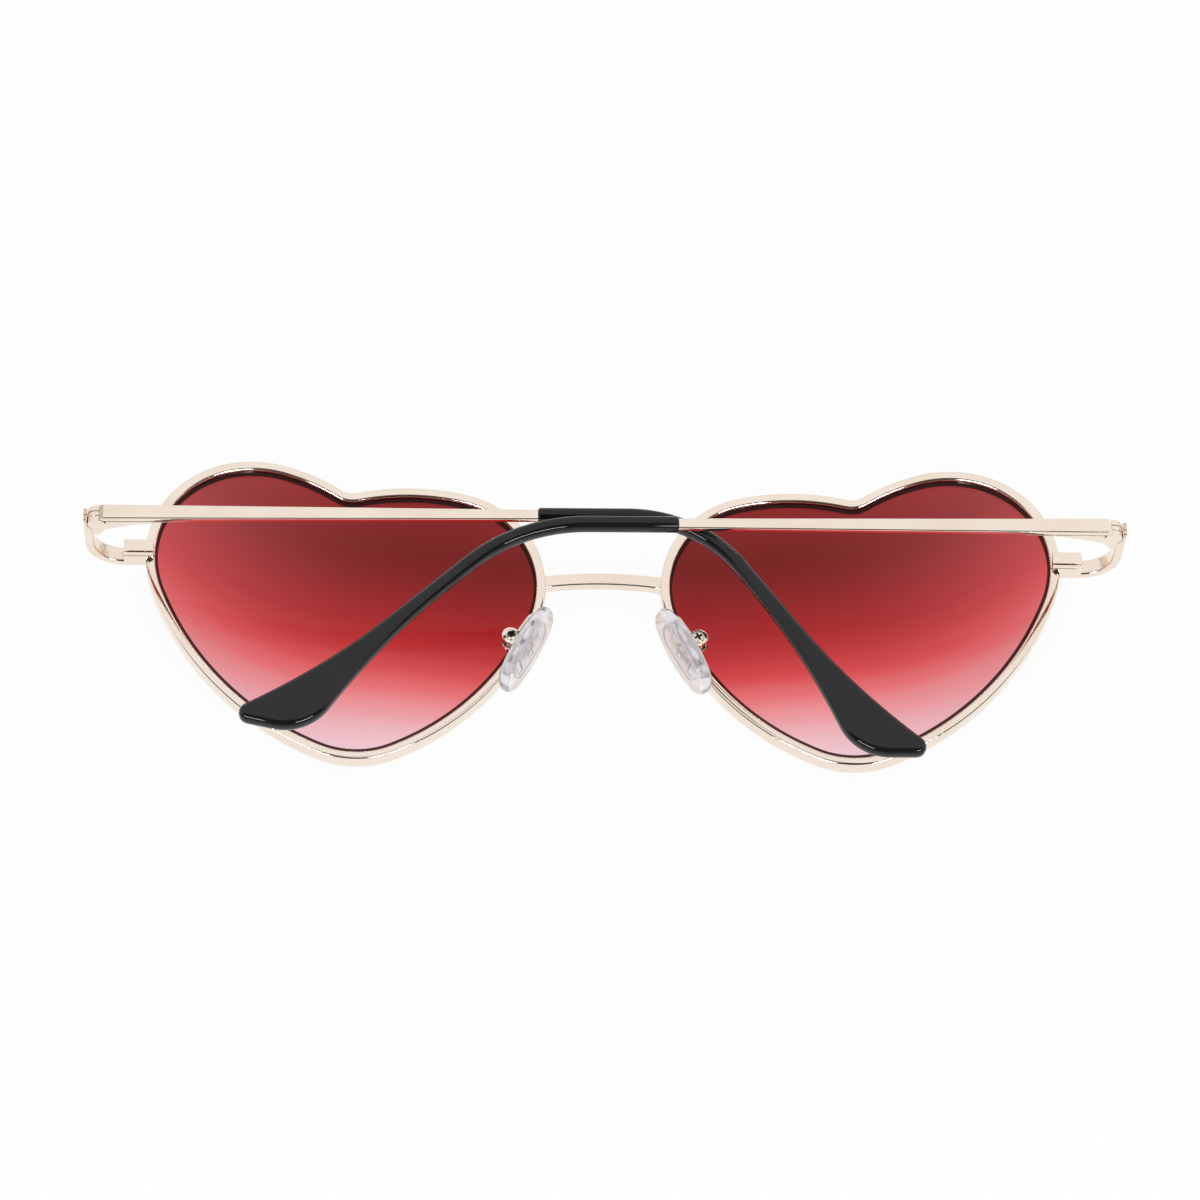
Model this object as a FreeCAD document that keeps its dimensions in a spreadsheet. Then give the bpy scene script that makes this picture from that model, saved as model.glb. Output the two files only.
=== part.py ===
import FreeCAD, Part
import math
import os
import re
import Sketcher
from FreeCAD import Vector

# Heart-shaped metal sunglasses, folded and lying on the fronts of their lenses.
# Millimetres. X runs to the right as seen from behind, Y runs up the hearts,
# Z runs from the lens fronts towards the wearer. The origin lies midway between
# the lenses, at half their height, on the plane that the lens fronts rest on.

SIZES = {
    # Lens: a heart of tangent arcs in shares of its width, cut from a spherical shell
    "lens_width": 54.0,
    "lens_height": 44.8,
    "bridge_gap": 18.0,
    "temporal_lobe_share": 0.2815,
    "nasal_lobe_share": 0.263,
    "nasal_drop_share": 0.0574,
    "heart_tip_share": 0.2204,
    "heart_tip_offset_share": 0.0241,
    "cleft_share": 0.0704,
    "cleft_depth_share": 0.0667,
    "cleft_offset_share": 0.0093,
    "temporal_brow_share": 0.4519,
    "nasal_brow_share": 0.563,
    "temporal_flank_share": 0.7852,
    "nasal_flank_share": 0.7481,
    "lens_radius": 120.0,
    "lens_thickness": 1.6,
    "face_form_angle": 4.0,
    # Rim: a wire with a groove for the lens, slit at the closing block
    "rim_width": 1.35,
    "groove_depth": 0.4,
    "rim_front_lip": 0.3,
    "rim_back_lip": 0.7,
    "rim_edge_radius": 0.3,
    "rim_slit": 0.15,
    # Bridge: an arched bar between the rims
    "bridge_height": 6.6,
    "bridge_bar_height": 1.85,
    "bridge_bar_depth": 1.6,
    "bridge_rise": 0.7,
    "bridge_edge_radius": 0.35,
    # End piece: a strip bent back from the rim to the hinge
    "end_piece_reach": 8.15,
    "strip_level": 7.3,
    "strip_height": 2.3,
    "strip_thickness": 1.25,
    "strip_bend_radius": 5.4,
    "strip_edge_radius": 0.25,
    # Closing block: two halves that a screw pulls together round the lens
    "block_width": 3.0,
    "block_height": 2.7,
    "block_depth": 1.8,
    "block_lower_height": 0.65,
    "block_edge_radius": 0.15,
    "block_play": 0.04,
    "closing_screw_radius": 0.5,
    "closing_screw_head_radius": 0.8,
    "closing_screw_head_height": 0.4,
    "screw_slot_width": 0.25,
    "screw_slot_depth": 0.2,
    # Hinge: two front knuckles round one temple knuckle; end piece and temple meet on a slant
    "hinge_inset": 1.8,
    "hinge_setback": 16.9,
    "knuckle_radius": 1.25,
    "knuckle_gap": 0.07,
    "knuckle_clearance": 0.1,
    "hinge_butt_gap": 0.05,
    "mitre_rise": 0.9,
    "mitre_drop": 0.45,
    "hinge_screw_radius": 0.5,
    "hinge_screw_play": 0.05,
    "hinge_screw_head_radius": 0.85,
    "hinge_screw_head_height": 0.4,
    "front_leaf_length": 2.6,
    "front_leaf_straight": 1.0,
    "front_leaf_slant": 1.0,
    "temple_leaf_length": 12.6,
    # Temple: a tapering strip that goes on as a core inside the tip
    "temple_thickness": 1.0,
    "temple_end_height": 1.55,
    "temple_edge_radius": 0.2,
    "tip_start": 60.7,
    "core_width": 1.1,
    "core_flank_length": 20.0,
    "bend_start": 73.2,
    "bend_length": 17.9,
    # Tip: a moulded sleeve that widens into a paddle
    "sleeve_height": 2.1,
    "sleeve_thickness": 2.4,
    "sleeve_edge_radius": 0.7,
    "paddle_width": 7.9,
    "upper_flare_length": 23.5,
    "lower_flare_length": 25.5,
    "upper_corner_radius": 1.4,
    "lower_corner_radius": 7.3,
    "paddle_end_angle": 55.1,
    # Folded pair: the right temple lies over the left one and hangs a little lower,
    # and each tip is bent by its own amount and set a little further or less far
    "left_bend_angle": 54.9,
    "right_bend_angle": 41.8,
    "left_flank_length": 12.3,
    "right_flank_length": 14.4,
    "left_droop_angle": -0.48,
    "right_droop_angle": 1.86,
    "left_stack_angle": 0.0,
    "right_stack_angle": 2.2,
    # Nose pad: a soft oval round a slotted insert with a stem
    "pad_length": 14.0,
    "pad_width": 7.0,
    "pad_thickness": 2.0,
    "pad_top_radius": 2.5,
    "pad_bottom_radius": 2.9,
    "pad_side_radius": 15.0,
    "pad_edge_radius": 0.7,
    "pad_angle": 27.7,
    "pad_setback": 6.8,
    "pad_standoff": 2.45,
    "pad_splay": 12.0,
    "pad_shift": 0.3,
    "insert_length": 9.2,
    "insert_width": 4.2,
    "insert_thickness": 0.7,
    "insert_slot_length": 2.4,
    "insert_slot_width": 0.9,
    "stem_radius": 0.85,
    "stem_height": 1.2,
    # Pad box: a clevis on a bent arm, with the screw that the pad rocks on
    "box_width": 2.4,
    "box_reach": 0.85,
    "box_back": 1.4,
    "box_cheek": 0.7,
    "box_corner_radius": 1.15,
    "stem_play": 0.06,
    "pad_screw_radius": 0.5,
    "pad_screw_play": 0.05,
    "pad_screw_head_radius": 0.85,
    "pad_screw_head_height": 0.35,
    "arm_radius": 0.5,
    "arm_bend_radius": 1.2,
    "arm_reach": 5.75,
    "arm_foot_angle": 203.0,
    "arm_angle": 32.0,
    # Length by which a cutting shape passes the surface that it cuts
    "overrun": 1.0,
}

# Sizes and places that follow from the driving ones, each from those above it
DERIVED = {
    "temporal_lobe_radius": "lens_width * temporal_lobe_share",
    "nasal_lobe_radius": "lens_width * nasal_lobe_share",
    "nasal_lobe_drop": "lens_width * nasal_drop_share",
    "heart_tip_radius": "lens_width * heart_tip_share",
    "heart_tip_offset": "lens_width * heart_tip_offset_share",
    "cleft_radius": "lens_width * cleft_share",
    "cleft_depth": "lens_width * cleft_depth_share",
    "cleft_offset": "lens_width * cleft_offset_share",
    "temporal_brow_radius": "lens_width * temporal_brow_share",
    "nasal_brow_radius": "lens_width * nasal_brow_share",
    "temporal_flank_radius": "lens_width * temporal_flank_share",
    "nasal_flank_radius": "lens_width * nasal_flank_share",
    "lens_x": "(bridge_gap + lens_width) / 2",
    "ball_x": "lens_x - lens_radius * sin(face_form_angle)",
    "nasal_x": "bridge_gap / 2 + nasal_lobe_radius",
    "nasal_y": "lens_height / 2 - nasal_lobe_drop - nasal_lobe_radius",
    "rim_grow": "rim_width - groove_depth",
    "rim_back_radius": "lens_radius - lens_thickness - rim_back_lip",
    "rim_mid_radius": "(lens_radius + rim_front_lip + rim_back_radius) / 2",
    "bridge_radius": "((bridge_gap / 2)^2 + bridge_rise^2) / (2 * bridge_rise)",
    "bridge_z": "lens_radius - sqrt(rim_mid_radius^2 - (bridge_gap / 2 - ball_x)^2 - bridge_height^2)",
    "lug_x": "lens_x + lens_width / 2 + rim_grow",
    "strip_z": "lens_radius - sqrt(rim_mid_radius^2 - (lens_x + lens_width / 2 - ball_x)^2 - strip_level^2)",
    "strip_front": "strip_z - strip_thickness / 2",
    "strip_back": "strip_z + strip_thickness / 2",
    "strip_outer": "lug_x + end_piece_reach",
    "strip_inner": "strip_outer - strip_thickness",
    "bend_x": "strip_outer - strip_bend_radius",
    "bend_z": "strip_front + strip_bend_radius",
    "block_bottom": "strip_level - block_height / 2",
    "slit_bottom": "block_bottom + block_lower_height",
    "slit_top": "slit_bottom + rim_slit",
    "closing_x": "lug_x + block_width / 2",
    "closing_z": "strip_back + block_depth / 2",
    "hinge_x": "strip_outer - hinge_inset",
    "hinge_bottom": "strip_level - strip_height / 2",
    "knuckle_height": "(strip_height - 2 * knuckle_gap) / 3",
    "knuckle_hole_radius": "hinge_screw_radius + hinge_screw_play",
    "knuckle_room": "knuckle_radius + knuckle_clearance",
    "mitre_slope": "(mitre_rise + mitre_drop) / strip_thickness",
    "temple_inner": "hinge_inset - temple_thickness",
    "leaf_depth": "temple_inner + knuckle_radius",
    "leaf_run": "temple_leaf_length - knuckle_room",
    "leaf_curve_radius": "(leaf_run^2 + leaf_depth^2) / (2 * leaf_depth)",
    "sleeve_bottom": "hinge_inset - (temple_thickness + sleeve_thickness) / 2",
    "flare_rise": "(paddle_width - sleeve_height) / 2",
    "upper_flare_radius": "(upper_flare_length^2 + flare_rise^2) / (2 * flare_rise)",
    "lower_flare_radius": "(lower_flare_length^2 + flare_rise^2) / (2 * flare_rise)",
    "arm_foot_x": "nasal_x + (nasal_lobe_radius + rim_width / 2 - groove_depth) * cos(arm_foot_angle)",
    "arm_foot_y": "nasal_y + (nasal_lobe_radius + rim_width / 2 - groove_depth) * sin(arm_foot_angle)",
    "arm_foot_z": "lens_radius - sqrt(rim_back_radius^2 - (arm_foot_x - ball_x)^2 - arm_foot_y^2)"
                  " - rim_back_lip / 2",
    "pad_axis_x": "arm_foot_x + arm_reach * sin(arm_angle)",
    "pad_axis_y": "arm_foot_y - arm_reach * cos(arm_angle)",
    "box_height": "stem_height + 2 * stem_play + 2 * box_cheek",
    "arm_level": "pad_setback - (stem_height + box_cheek) / 2 - stem_play",
}

doc = FreeCAD.newDocument("heart_sunglasses")
sheet = doc.addObject("Spreadsheet::Sheet", "sizes")
for row, (alias, size) in enumerate(SIZES.items(), 1):
    sheet.set(f"A{row}", alias)
    sheet.set(f"B{row}", str(size))
    sheet.setAlias(f"B{row}", alias)
doc.recompute()

nodes = {}


def linked(formula):
    # A formula in plain names, with derived names spelled out and sizes read from the sheet
    for name, meaning in reversed(DERIVED.items()):
        formula = re.sub(rf"\b{name}\b", f"({meaning})", formula)
    return re.sub(rf"\b({'|'.join(SIZES)})\b", r"sizes.\1", formula)


def value(formula):
    return float(sheet.evalExpression(linked(formula)))


def point(x, y):
    return Vector(value(x), value(y), 0)


def bind(item, formulas):
    for place, formula in formulas.items():
        item.setExpression(place, linked(formula))
    return item


def settle(item, x="0", y="0", z="0"):
    return bind(item, {"Placement.Base.x": x, "Placement.Base.y": y, "Placement.Base.z": z})


def block(name, low, high):
    # A box between two corners, each given as three formulas
    item = doc.addObject("Part::Box", name)
    for side, start, end in zip(("Length", "Width", "Height"), low, high):
        bind(item, {side: f"({end}) - ({start})"})
    return settle(item, *low)


def rod(name, radius, length, base, along="Z"):
    item = doc.addObject("Part::Cylinder", name)
    if along == "X":
        item.Placement.Rotation = FreeCAD.Rotation(Vector(0, 1, 0), 90)
    if along == "Y":
        item.Placement.Rotation = FreeCAD.Rotation(Vector(1, 0, 0), -90)
    bind(item, {"Radius": radius, "Height": length})
    return settle(item, *base)


def ball(name, radius):
    item = doc.addObject("Part::Sphere", name)
    bind(item, {"Radius": radius})
    return settle(item, "ball_x", "0", "lens_radius")


def joined(kind, name, base, tool):
    item = doc.addObject(kind, name)
    item.Base = base
    item.Tool = tool
    return item


def cut(name, base, *tools):
    for number, tool in enumerate(tools, 1):
        last = number == len(tools)
        base = joined("Part::Cut", name if last else f"{name}_cut_{number}", base, tool)
    return base


def fuse(name, *pieces):
    item = doc.addObject("Part::MultiFuse", name)
    item.Shapes = list(pieces)
    item.Refine = True
    return item


def extruded(name, sketch, length, along=Vector(0, 0, 1)):
    item = doc.addObject("Part::Extrusion", name)
    item.Base = sketch
    item.DirMode = "Custom"
    item.Dir = along
    item.Solid = True
    return bind(item, {"LengthFwd": length})


def across(name, sketch, start, height):
    # A solid whose sketch lies in X and Z, drawn out along Y
    sketch.Placement.Rotation = FreeCAD.Rotation(Vector(1, 0, 0), 90)
    return extruded(name, settle(sketch, y=start), height, Vector(0, 1, 0))


def rounded(name, base, radius, chosen):
    # Rounds the edges of a solid for which the test holds
    doc.recompute()
    edges = [number for number, edge in enumerate(base.Shape.Edges, 1) if chosen(edge)]
    item = doc.addObject("Part::Fillet", name)
    item.Base = base
    item.Edges = [(number, value(radius), value(radius)) for number in edges]
    return item


def runs_along(edge, axis):
    # True for a straight edge parallel to an axis
    return edge.Curve.TypeId == "Part::GeomLine" and abs(edge.tangentAt(edge.FirstParameter).dot(axis)) > 0.999


def mirrored(name, source):
    item = doc.addObject("Part::Mirroring", name)
    item.Source = source
    item.Normal = Vector(1, 0, 0)
    return item


def keep(name, item):
    nodes[name] = item
    return item


def keep_pair(name, item):
    # The right-hand piece and its mirror image
    keep(f"{name}_right", item)
    keep(f"{name}_left", mirrored(f"{name}_left", item))
    return item


def draw(name, steps):
    # A closed sketch of lines and arcs. Each step is (start, end, centre, radius formula, turn, smooth):
    # a line has no centre, turn is 1 for an arc to the left, and smooth means tangent to the next step.
    sketch = doc.addObject("Sketcher::SketchObject", name)
    ends = []
    for start, end, centre, radius, turn, smooth in steps:
        if centre is None:
            sketch.addGeometry(Part.LineSegment(start, end), False)
        else:
            first, last = ((p - centre) for p in ((start, end) if turn > 0 else (end, start)))
            low, high = math.atan2(first.y, first.x), math.atan2(last.y, last.x)
            circle = Part.Circle(centre, Vector(0, 0, 1), first.Length)
            sketch.addGeometry(Part.ArcOfCircle(circle, low, high if high > low else high + 2 * math.pi), False)
        ends.append((1, 2) if centre is None or turn > 0 else (2, 1))
    for number, step in enumerate(steps):
        after = (number + 1) % len(steps)
        kind = "Tangent" if step[5] else "Coincident"
        sketch.addConstraint(Sketcher.Constraint(kind, number, ends[number][1], after, ends[after][0]))
    for number, step in enumerate(steps):
        if step[2] is not None:
            spot = sketch.addConstraint(Sketcher.Constraint("Radius", number, value(step[3])))
            bind(sketch, {f"Constraints[{spot}]": step[3]})
    return sketch


def hold(sketch, geometry, spot, x, y):
    # Fixes a point of a sketch at its place from the sheet
    for kind, formula in (("DistanceX", x), ("DistanceY", y)):
        number = sketch.addConstraint(Sketcher.Constraint(kind, -1, 1, geometry, spot, value(formula)))
        bind(sketch, {f"Constraints[{number}]": formula})


def ring_of_arcs(name, lobes, spans):
    # A closed outline of lobes joined by wide tangent arcs, counter-clockwise. A lobe is
    # (x, y, radius, bulge), with a bulge of 1 outwards and -1 inwards; a span is a radius.
    centres, joints = [point(x, y) for x, y, _, _ in lobes], []
    for number, span in enumerate(spans):
        after = (number + 1) % len(lobes)
        reach = [value(span) - lobes[k][3] * value(lobes[k][2]) for k in (number, after)]
        gap = centres[after] - centres[number]
        along = (reach[0] ** 2 - reach[1] ** 2 + gap.Length ** 2) / (2 * gap.Length)
        aside = math.sqrt(reach[0] ** 2 - along ** 2)
        way = gap / gap.Length
        middle = centres[number] + way * along + Vector(-way.y, way.x, 0) * aside
        touch = [middle + (centres[k] - middle) * (value(span) / (centres[k] - middle).Length)
                 for k in (number, after)]
        joints.append((middle, touch))
    steps = []
    for number, (x, y, radius, bulge) in enumerate(lobes):
        middle, touch = joints[number]
        steps.append((joints[number - 1][1][1], touch[0], centres[number], radius, bulge, True))
        steps.append((touch[0], touch[1], middle, spans[number], 1, True))
    sketch = draw(name, steps)
    for number, (x, y, _, _) in enumerate(lobes):
        hold(sketch, 2 * number, 3, x, y)
    return sketch


def polygon(name, corners, arcs=None):
    # A closed sketch through corners given as formulas; arcs maps a side's number to (centre, radius, turn)
    points = [point(*corner) for corner in corners]
    steps = []
    for number, start in enumerate(points):
        centre, radius, turn = (arcs or {}).get(number, (None, None, 1))
        middle = None if centre is None else point(*centre)
        steps.append((start, points[(number + 1) % len(points)], middle, radius, turn, False))
    sketch = draw(name, steps)
    for number, corner in enumerate(corners):
        turned = number in (arcs or {}) and arcs[number][2] < 0
        hold(sketch, number, 2 if turned else 1, *corner)
    return sketch


class Pen:
    # Walks along an outline and notes each straight run and each bend on the way
    def __init__(self, x, y, heading):
        self.spot = Vector(x, y, 0)
        self.heading = heading
        self.steps = []

    def ahead(self):
        return Vector(math.cos(self.heading), math.sin(self.heading), 0)

    def run(self, length, smooth=True):
        start, self.spot = self.spot, self.spot + self.ahead() * length
        self.steps.append((start, self.spot, None, None, 1, smooth))

    def bend(self, radius, degrees, smooth=True):
        turn = 1 if degrees > 0 else -1
        left = Vector(-self.ahead().y, self.ahead().x, 0)
        centre = self.spot + left * (turn * value(radius))
        start, self.heading = self.spot, self.heading + math.radians(degrees)
        left = Vector(-self.ahead().y, self.ahead().x, 0)
        self.spot = centre - left * (turn * value(radius))
        self.steps.append((start, self.spot, centre, radius, turn, smooth))


def backwards(steps):
    return [(end, start, centre, radius, -turn, True)
            for start, end, centre, radius, turn, _ in reversed(steps)]


# Heart outlines: the lens edge, the outside of the rim and the rim's opening
def heart(name, grow):
    lobes = [
        ("lens_x - heart_tip_offset", "heart_tip_radius - lens_height / 2", f"heart_tip_radius + {grow}", 1),
        ("lens_x + lens_width / 2 - temporal_lobe_radius", "lens_height / 2 - temporal_lobe_radius",
         f"temporal_lobe_radius + {grow}", 1),
        ("lens_x - cleft_offset", "lens_height / 2 - cleft_depth + cleft_radius",
         f"cleft_radius - ({grow})", -1),
        ("nasal_x", "nasal_y", f"nasal_lobe_radius + {grow}", 1),
    ]
    spans = [f"{side}_radius + {grow}" for side in
             ("temporal_flank", "temporal_brow", "nasal_brow", "nasal_flank")]
    sketch = settle(ring_of_arcs(f"{name}_outline", lobes, spans), z="-overrun")
    return extruded(f"{name}_prism", sketch, "hinge_setback + overrun")


lens_prism = heart("lens", "0 * groove_depth")
rim_prism = heart("rim_outside", "rim_grow")
opening_prism = heart("rim_opening", "-groove_depth")
rim_prism_left = mirrored("rim_outside_prism_left", rim_prism)


# Lenses
def build_lens():
    shell = cut("lens_shell", ball("lens_front_ball", "lens_radius"),
                ball("lens_back_ball", "lens_radius - lens_thickness"))
    return joined("Part::Common", "lens_right", lens_prism, shell)


lens = keep_pair("lens", build_lens())


# Rims
def build_rim():
    ring = cut("rim_ring", rim_prism, opening_prism)
    shell = cut("rim_shell", ball("rim_front_ball", "lens_radius + rim_front_lip"),
                ball("rim_back_ball", "rim_back_radius"))
    wire = joined("Part::Common", "rim_wire", ring, shell)
    soft = rounded("rim_soft", wire, "rim_edge_radius", lambda edge: not runs_along(edge, Vector(0, 0, 1)))
    slit = block("rim_slit_cut", ("lens_x", "slit_bottom", "-overrun"),
                 ("lug_x + overrun", "slit_top", "hinge_setback"))
    return cut("rim_right", soft, lens, slit), soft


rim_body, rim_wire = build_rim()
rim = keep_pair("rim", rim_body)


# Bridge
def build_bridge():
    low, high = "bridge_z - bridge_bar_depth / 2", "bridge_z + bridge_bar_depth / 2"
    centre = ("0", "bridge_height - bridge_radius", low)
    outer = rod("bridge_outer", "bridge_radius + bridge_bar_height / 2", "bridge_bar_depth", centre)
    inner = rod("bridge_inner", "bridge_radius - bridge_bar_height / 2", "bridge_bar_depth", centre)
    span = block("bridge_span", ("-bridge_gap / 2", "0", low), ("bridge_gap / 2", "2 * bridge_height", high))
    bar = joined("Part::Common", "bridge_bar", cut("bridge_hoop", outer, inner), span)
    soft = rounded("bridge_soft", bar, "bridge_edge_radius",
                   lambda edge: edge.Curve.TypeId == "Part::GeomCircle")
    return cut("bridge", soft, rim_prism, rim_prism_left)


bridge = keep("bridge", build_bridge())


# End pieces
def build_end_piece():
    start, end = "lug_x + block_play", "hinge_setback - hinge_butt_gap"
    corners = [(start, "strip_front"), ("bend_x", "strip_front"), ("strip_outer", "bend_z"),
               ("strip_outer", f"{end} + mitre_rise"), ("strip_inner", f"{end} - mitre_drop"),
               ("strip_inner", "bend_z"), ("bend_x", "strip_back"), (start, "strip_back")]
    centre = ("bend_x", "bend_z")
    sketch = polygon("end_piece_outline", corners,
                     {1: (centre, "strip_bend_radius", 1),
                      5: (centre, "strip_bend_radius - strip_thickness", -1)})
    strip = across("end_piece_strip", sketch, "hinge_bottom", "strip_height")
    soft = rounded("end_piece_soft", strip, "strip_edge_radius",
                   lambda edge: not runs_along(edge, Vector(0, 1, 0)) and edge.Length > value("strip_height"))
    room = rod("end_piece_room", "knuckle_room", "strip_height + 2 * overrun",
               ("hinge_x", "hinge_bottom - overrun", "hinge_setback"), "Y")
    return cut("end_piece_right", soft, room)


keep_pair("end_piece", build_end_piece())


# Closing blocks and their screws
def build_closing_block(half, low, high, play):
    shape = block(f"closing_block_{half}_body",
                  ("lens_x + lens_width / 2 - groove_depth / 2", low, f"strip_back + {play}"),
                  ("lug_x + block_width", high, "strip_back + block_depth"))
    soft = rounded(f"closing_block_{half}_soft", shape, "block_edge_radius",
                   lambda edge: edge.CenterOfMass.x > value("lug_x + block_width / 2"))
    hole = rod(f"closing_block_{half}_hole", "closing_screw_radius", "block_height + 2 * overrun",
               ("closing_x", "block_bottom - overrun", "closing_z"), "Y")
    return cut(f"closing_block_{half}_right", soft, rim_wire, hole)


def build_closing_screw():
    shank = rod("closing_screw_shank", "closing_screw_radius", "block_height",
                ("closing_x", "block_bottom", "closing_z"), "Y")
    top = "block_bottom + block_height"
    head = rod("closing_screw_head", "closing_screw_head_radius", "closing_screw_head_height",
               ("closing_x", top, "closing_z"), "Y")
    slot = block("closing_screw_slot",
                 ("closing_x - closing_screw_head_radius",
                  f"{top} + closing_screw_head_height - screw_slot_depth", "closing_z - screw_slot_width / 2"),
                 ("closing_x + closing_screw_head_radius",
                  f"{top} + closing_screw_head_height + overrun", "closing_z + screw_slot_width / 2"))
    return cut("closing_screw_right", fuse("closing_screw_body", shank, head), slot)


keep_pair("closing_block_upper", build_closing_block("upper", "slit_top", "block_bottom + block_height", "0"))
keep_pair("closing_block_lower", build_closing_block("lower", "block_bottom", "slit_bottom", "block_play"))
keep_pair("closing_screw", build_closing_screw())


# Front hinges and hinge screws
def build_front_hinge():
    top = "hinge_bottom + strip_height"
    inside, foot = "hinge_x - knuckle_radius", "hinge_setback - front_leaf_length"
    sketch = polygon("front_hinge_outline",
                     [(inside, "hinge_setback"), (inside, "hinge_setback - front_leaf_straight"),
                      (f"{inside} + front_leaf_slant", foot), ("strip_inner", foot),
                      ("strip_inner", "hinge_setback")])
    leaf = across("front_hinge_leaf", sketch, "hinge_bottom", "strip_height")
    barrel = rod("front_hinge_barrel", "knuckle_radius", "strip_height",
                 ("hinge_x", "hinge_bottom", "hinge_setback"), "Y")
    slot = block("front_hinge_slot",
                 ("hinge_x - knuckle_radius - overrun", "hinge_bottom + knuckle_height",
                  "hinge_setback - knuckle_room"),
                 ("hinge_x + knuckle_radius + overrun", f"{top} - knuckle_height",
                  "hinge_setback + knuckle_radius + overrun"))
    hole = rod("front_hinge_hole", "hinge_screw_radius", "strip_height + 2 * overrun",
               ("hinge_x", "hinge_bottom - overrun", "hinge_setback"), "Y")
    return cut("front_hinge_right", fuse("front_hinge_body", leaf, barrel), slot, hole)


def build_hinge_screw():
    top = "hinge_bottom + strip_height"
    shank = rod("hinge_screw_shank", "hinge_screw_radius", "strip_height",
                ("hinge_x", "hinge_bottom", "hinge_setback"), "Y")
    head = rod("hinge_screw_head", "hinge_screw_head_radius", "hinge_screw_head_height",
               ("hinge_x", top, "hinge_setback"), "Y")
    slot = block("hinge_screw_slot",
                 ("hinge_x - screw_slot_width / 2", f"{top} + hinge_screw_head_height - screw_slot_depth",
                  "hinge_setback - hinge_screw_head_radius"),
                 ("hinge_x + screw_slot_width / 2", f"{top} + hinge_screw_head_height + overrun",
                  "hinge_setback + hinge_screw_head_radius"))
    return cut("hinge_screw_right", fuse("hinge_screw_body", shank, head), slot)


keep_pair("front_hinge", build_front_hinge())
keep_pair("hinge_screw", build_hinge_screw())


# Temples, both drawn as left ones, from the hinge axis with X along the folded temple.
# Each is turned a little about its hinge, and the right one is then mirrored.
def keep_at_hinge(name, side, item):
    swing = (f"rotation(vector(0; 1; 0); -{side}_stack_angle)"
             f" * rotation(vector(0; 0; 1); -{side}_droop_angle)")
    bind(item, {"Placement": f"placement(vector(-hinge_x; strip_level; hinge_setback); {swing})"})
    keep(f"{name}_{side}", item if side == "left" else mirrored(f"{name}_{side}_turned", item))


def edge_of_bend(side, offset):
    # The start of an edge, up to the end of the bend
    pen = Pen(value("tip_start"), value(offset), 0)
    pen.run(value("bend_start - tip_start"))
    pen.bend(f"bend_length * 180 / (pi * {side}_bend_angle) + {offset}", -value(f"{side}_bend_angle"))
    return pen


def build_strip(side):
    upper, lower = (edge_of_bend(side, f"{edge} * core_width / 2") for edge in (1, -1))
    for pen in (upper, lower):
        pen.run(value("core_flank_length"), smooth=False)
    start = [point("-temple_thickness / 2", f"{edge} * strip_height / 2") for edge in (1, -1)]
    shoulder = [point("tip_start", f"{edge} * temple_end_height / 2") for edge in (1, -1)]
    first, last = upper.steps[0][0], lower.steps[0][0]
    back = backwards(lower.steps)
    back[-1] = back[-1][:5] + (False,)
    steps = [(start[0], shoulder[0], None, None, 1, False), (shoulder[0], first, None, None, 1, False),
             *upper.steps, (upper.spot, lower.spot, None, None, 1, False), *back,
             (last, shoulder[1], None, None, 1, False), (shoulder[1], start[1], None, None, 1, False),
             (start[1], start[0], None, None, 1, False)]
    sketch = settle(draw(f"temple_{side}_outline", steps), z="temple_inner")
    strip = extruded(f"temple_{side}_strip", sketch, "temple_thickness")
    return rounded(f"temple_{side}_soft", strip, "temple_edge_radius",
                   lambda edge: runs_along(edge, (shoulder[0] - start[0]).normalize())
                   or runs_along(edge, (shoulder[1] - start[1]).normalize()))


def build_temple(side, strip):
    room = rod(f"temple_{side}_room", "knuckle_room", "strip_height + 2 * overrun",
               ("0", "-strip_height / 2 - overrun", "0"), "Y")
    levels = ("temple_inner - overrun", "hinge_inset + overrun")
    meets = [f"hinge_butt_gap + mitre_rise + mitre_slope * ({level} - hinge_inset)" for level in levels]
    sketch = polygon(f"temple_{side}_mitre_outline",
                     [("-3 * overrun", levels[0]), (meets[0], levels[0]), (meets[1], levels[1]),
                      ("-3 * overrun", levels[1])])
    mitre = across(f"temple_{side}_mitre", sketch, "-strip_height / 2 - overrun", "strip_height + 2 * overrun")
    return cut(f"temple_{side}", strip, room, mitre)


def build_tip(side, strip):
    end = value("paddle_end_angle")
    flare = {edge: math.degrees(math.asin(value(f"{edge}_flare_length / {edge}_flare_radius")))
             for edge in ("upper", "lower")}

    def lower_edge(flank):
        pen = edge_of_bend(side, "-sleeve_height / 2")
        pen.run(flank)
        pen.bend("lower_flare_radius", -flare["lower"])
        pen.bend("lower_corner_radius", end + flare["lower"])
        return pen

    upper = edge_of_bend(side, "sleeve_height / 2")
    upper.run(value(f"{side}_flank_length"))
    upper.bend("upper_flare_radius", flare["upper"])
    upper.bend("upper_corner_radius", end - flare["upper"] - 180)
    # The lower edge's straight run is as long as brings both corners onto the line of the end
    gap, along = upper.spot - lower_edge(0).spot, upper.ahead() * -1
    lower = lower_edge((gap.x * along.y - gap.y * along.x) / math.sin(math.radians(end)))
    back = backwards(lower.steps)
    back[-1] = back[-1][:5] + (False,)
    steps = [*upper.steps, (upper.spot, lower.spot, None, None, 1, True), *back,
             (lower.steps[0][0], upper.steps[0][0], None, None, 1, False)]
    sketch = settle(draw(f"temple_tip_{side}_outline", steps), z="sleeve_bottom")
    sleeve = extruded(f"temple_tip_{side}_sleeve", sketch, "sleeve_thickness")
    soft = rounded(f"temple_tip_{side}_soft", sleeve, "sleeve_edge_radius",
                   lambda edge: not runs_along(edge, Vector(0, 0, 1)))
    return cut(f"temple_tip_{side}", soft, strip)


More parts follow.
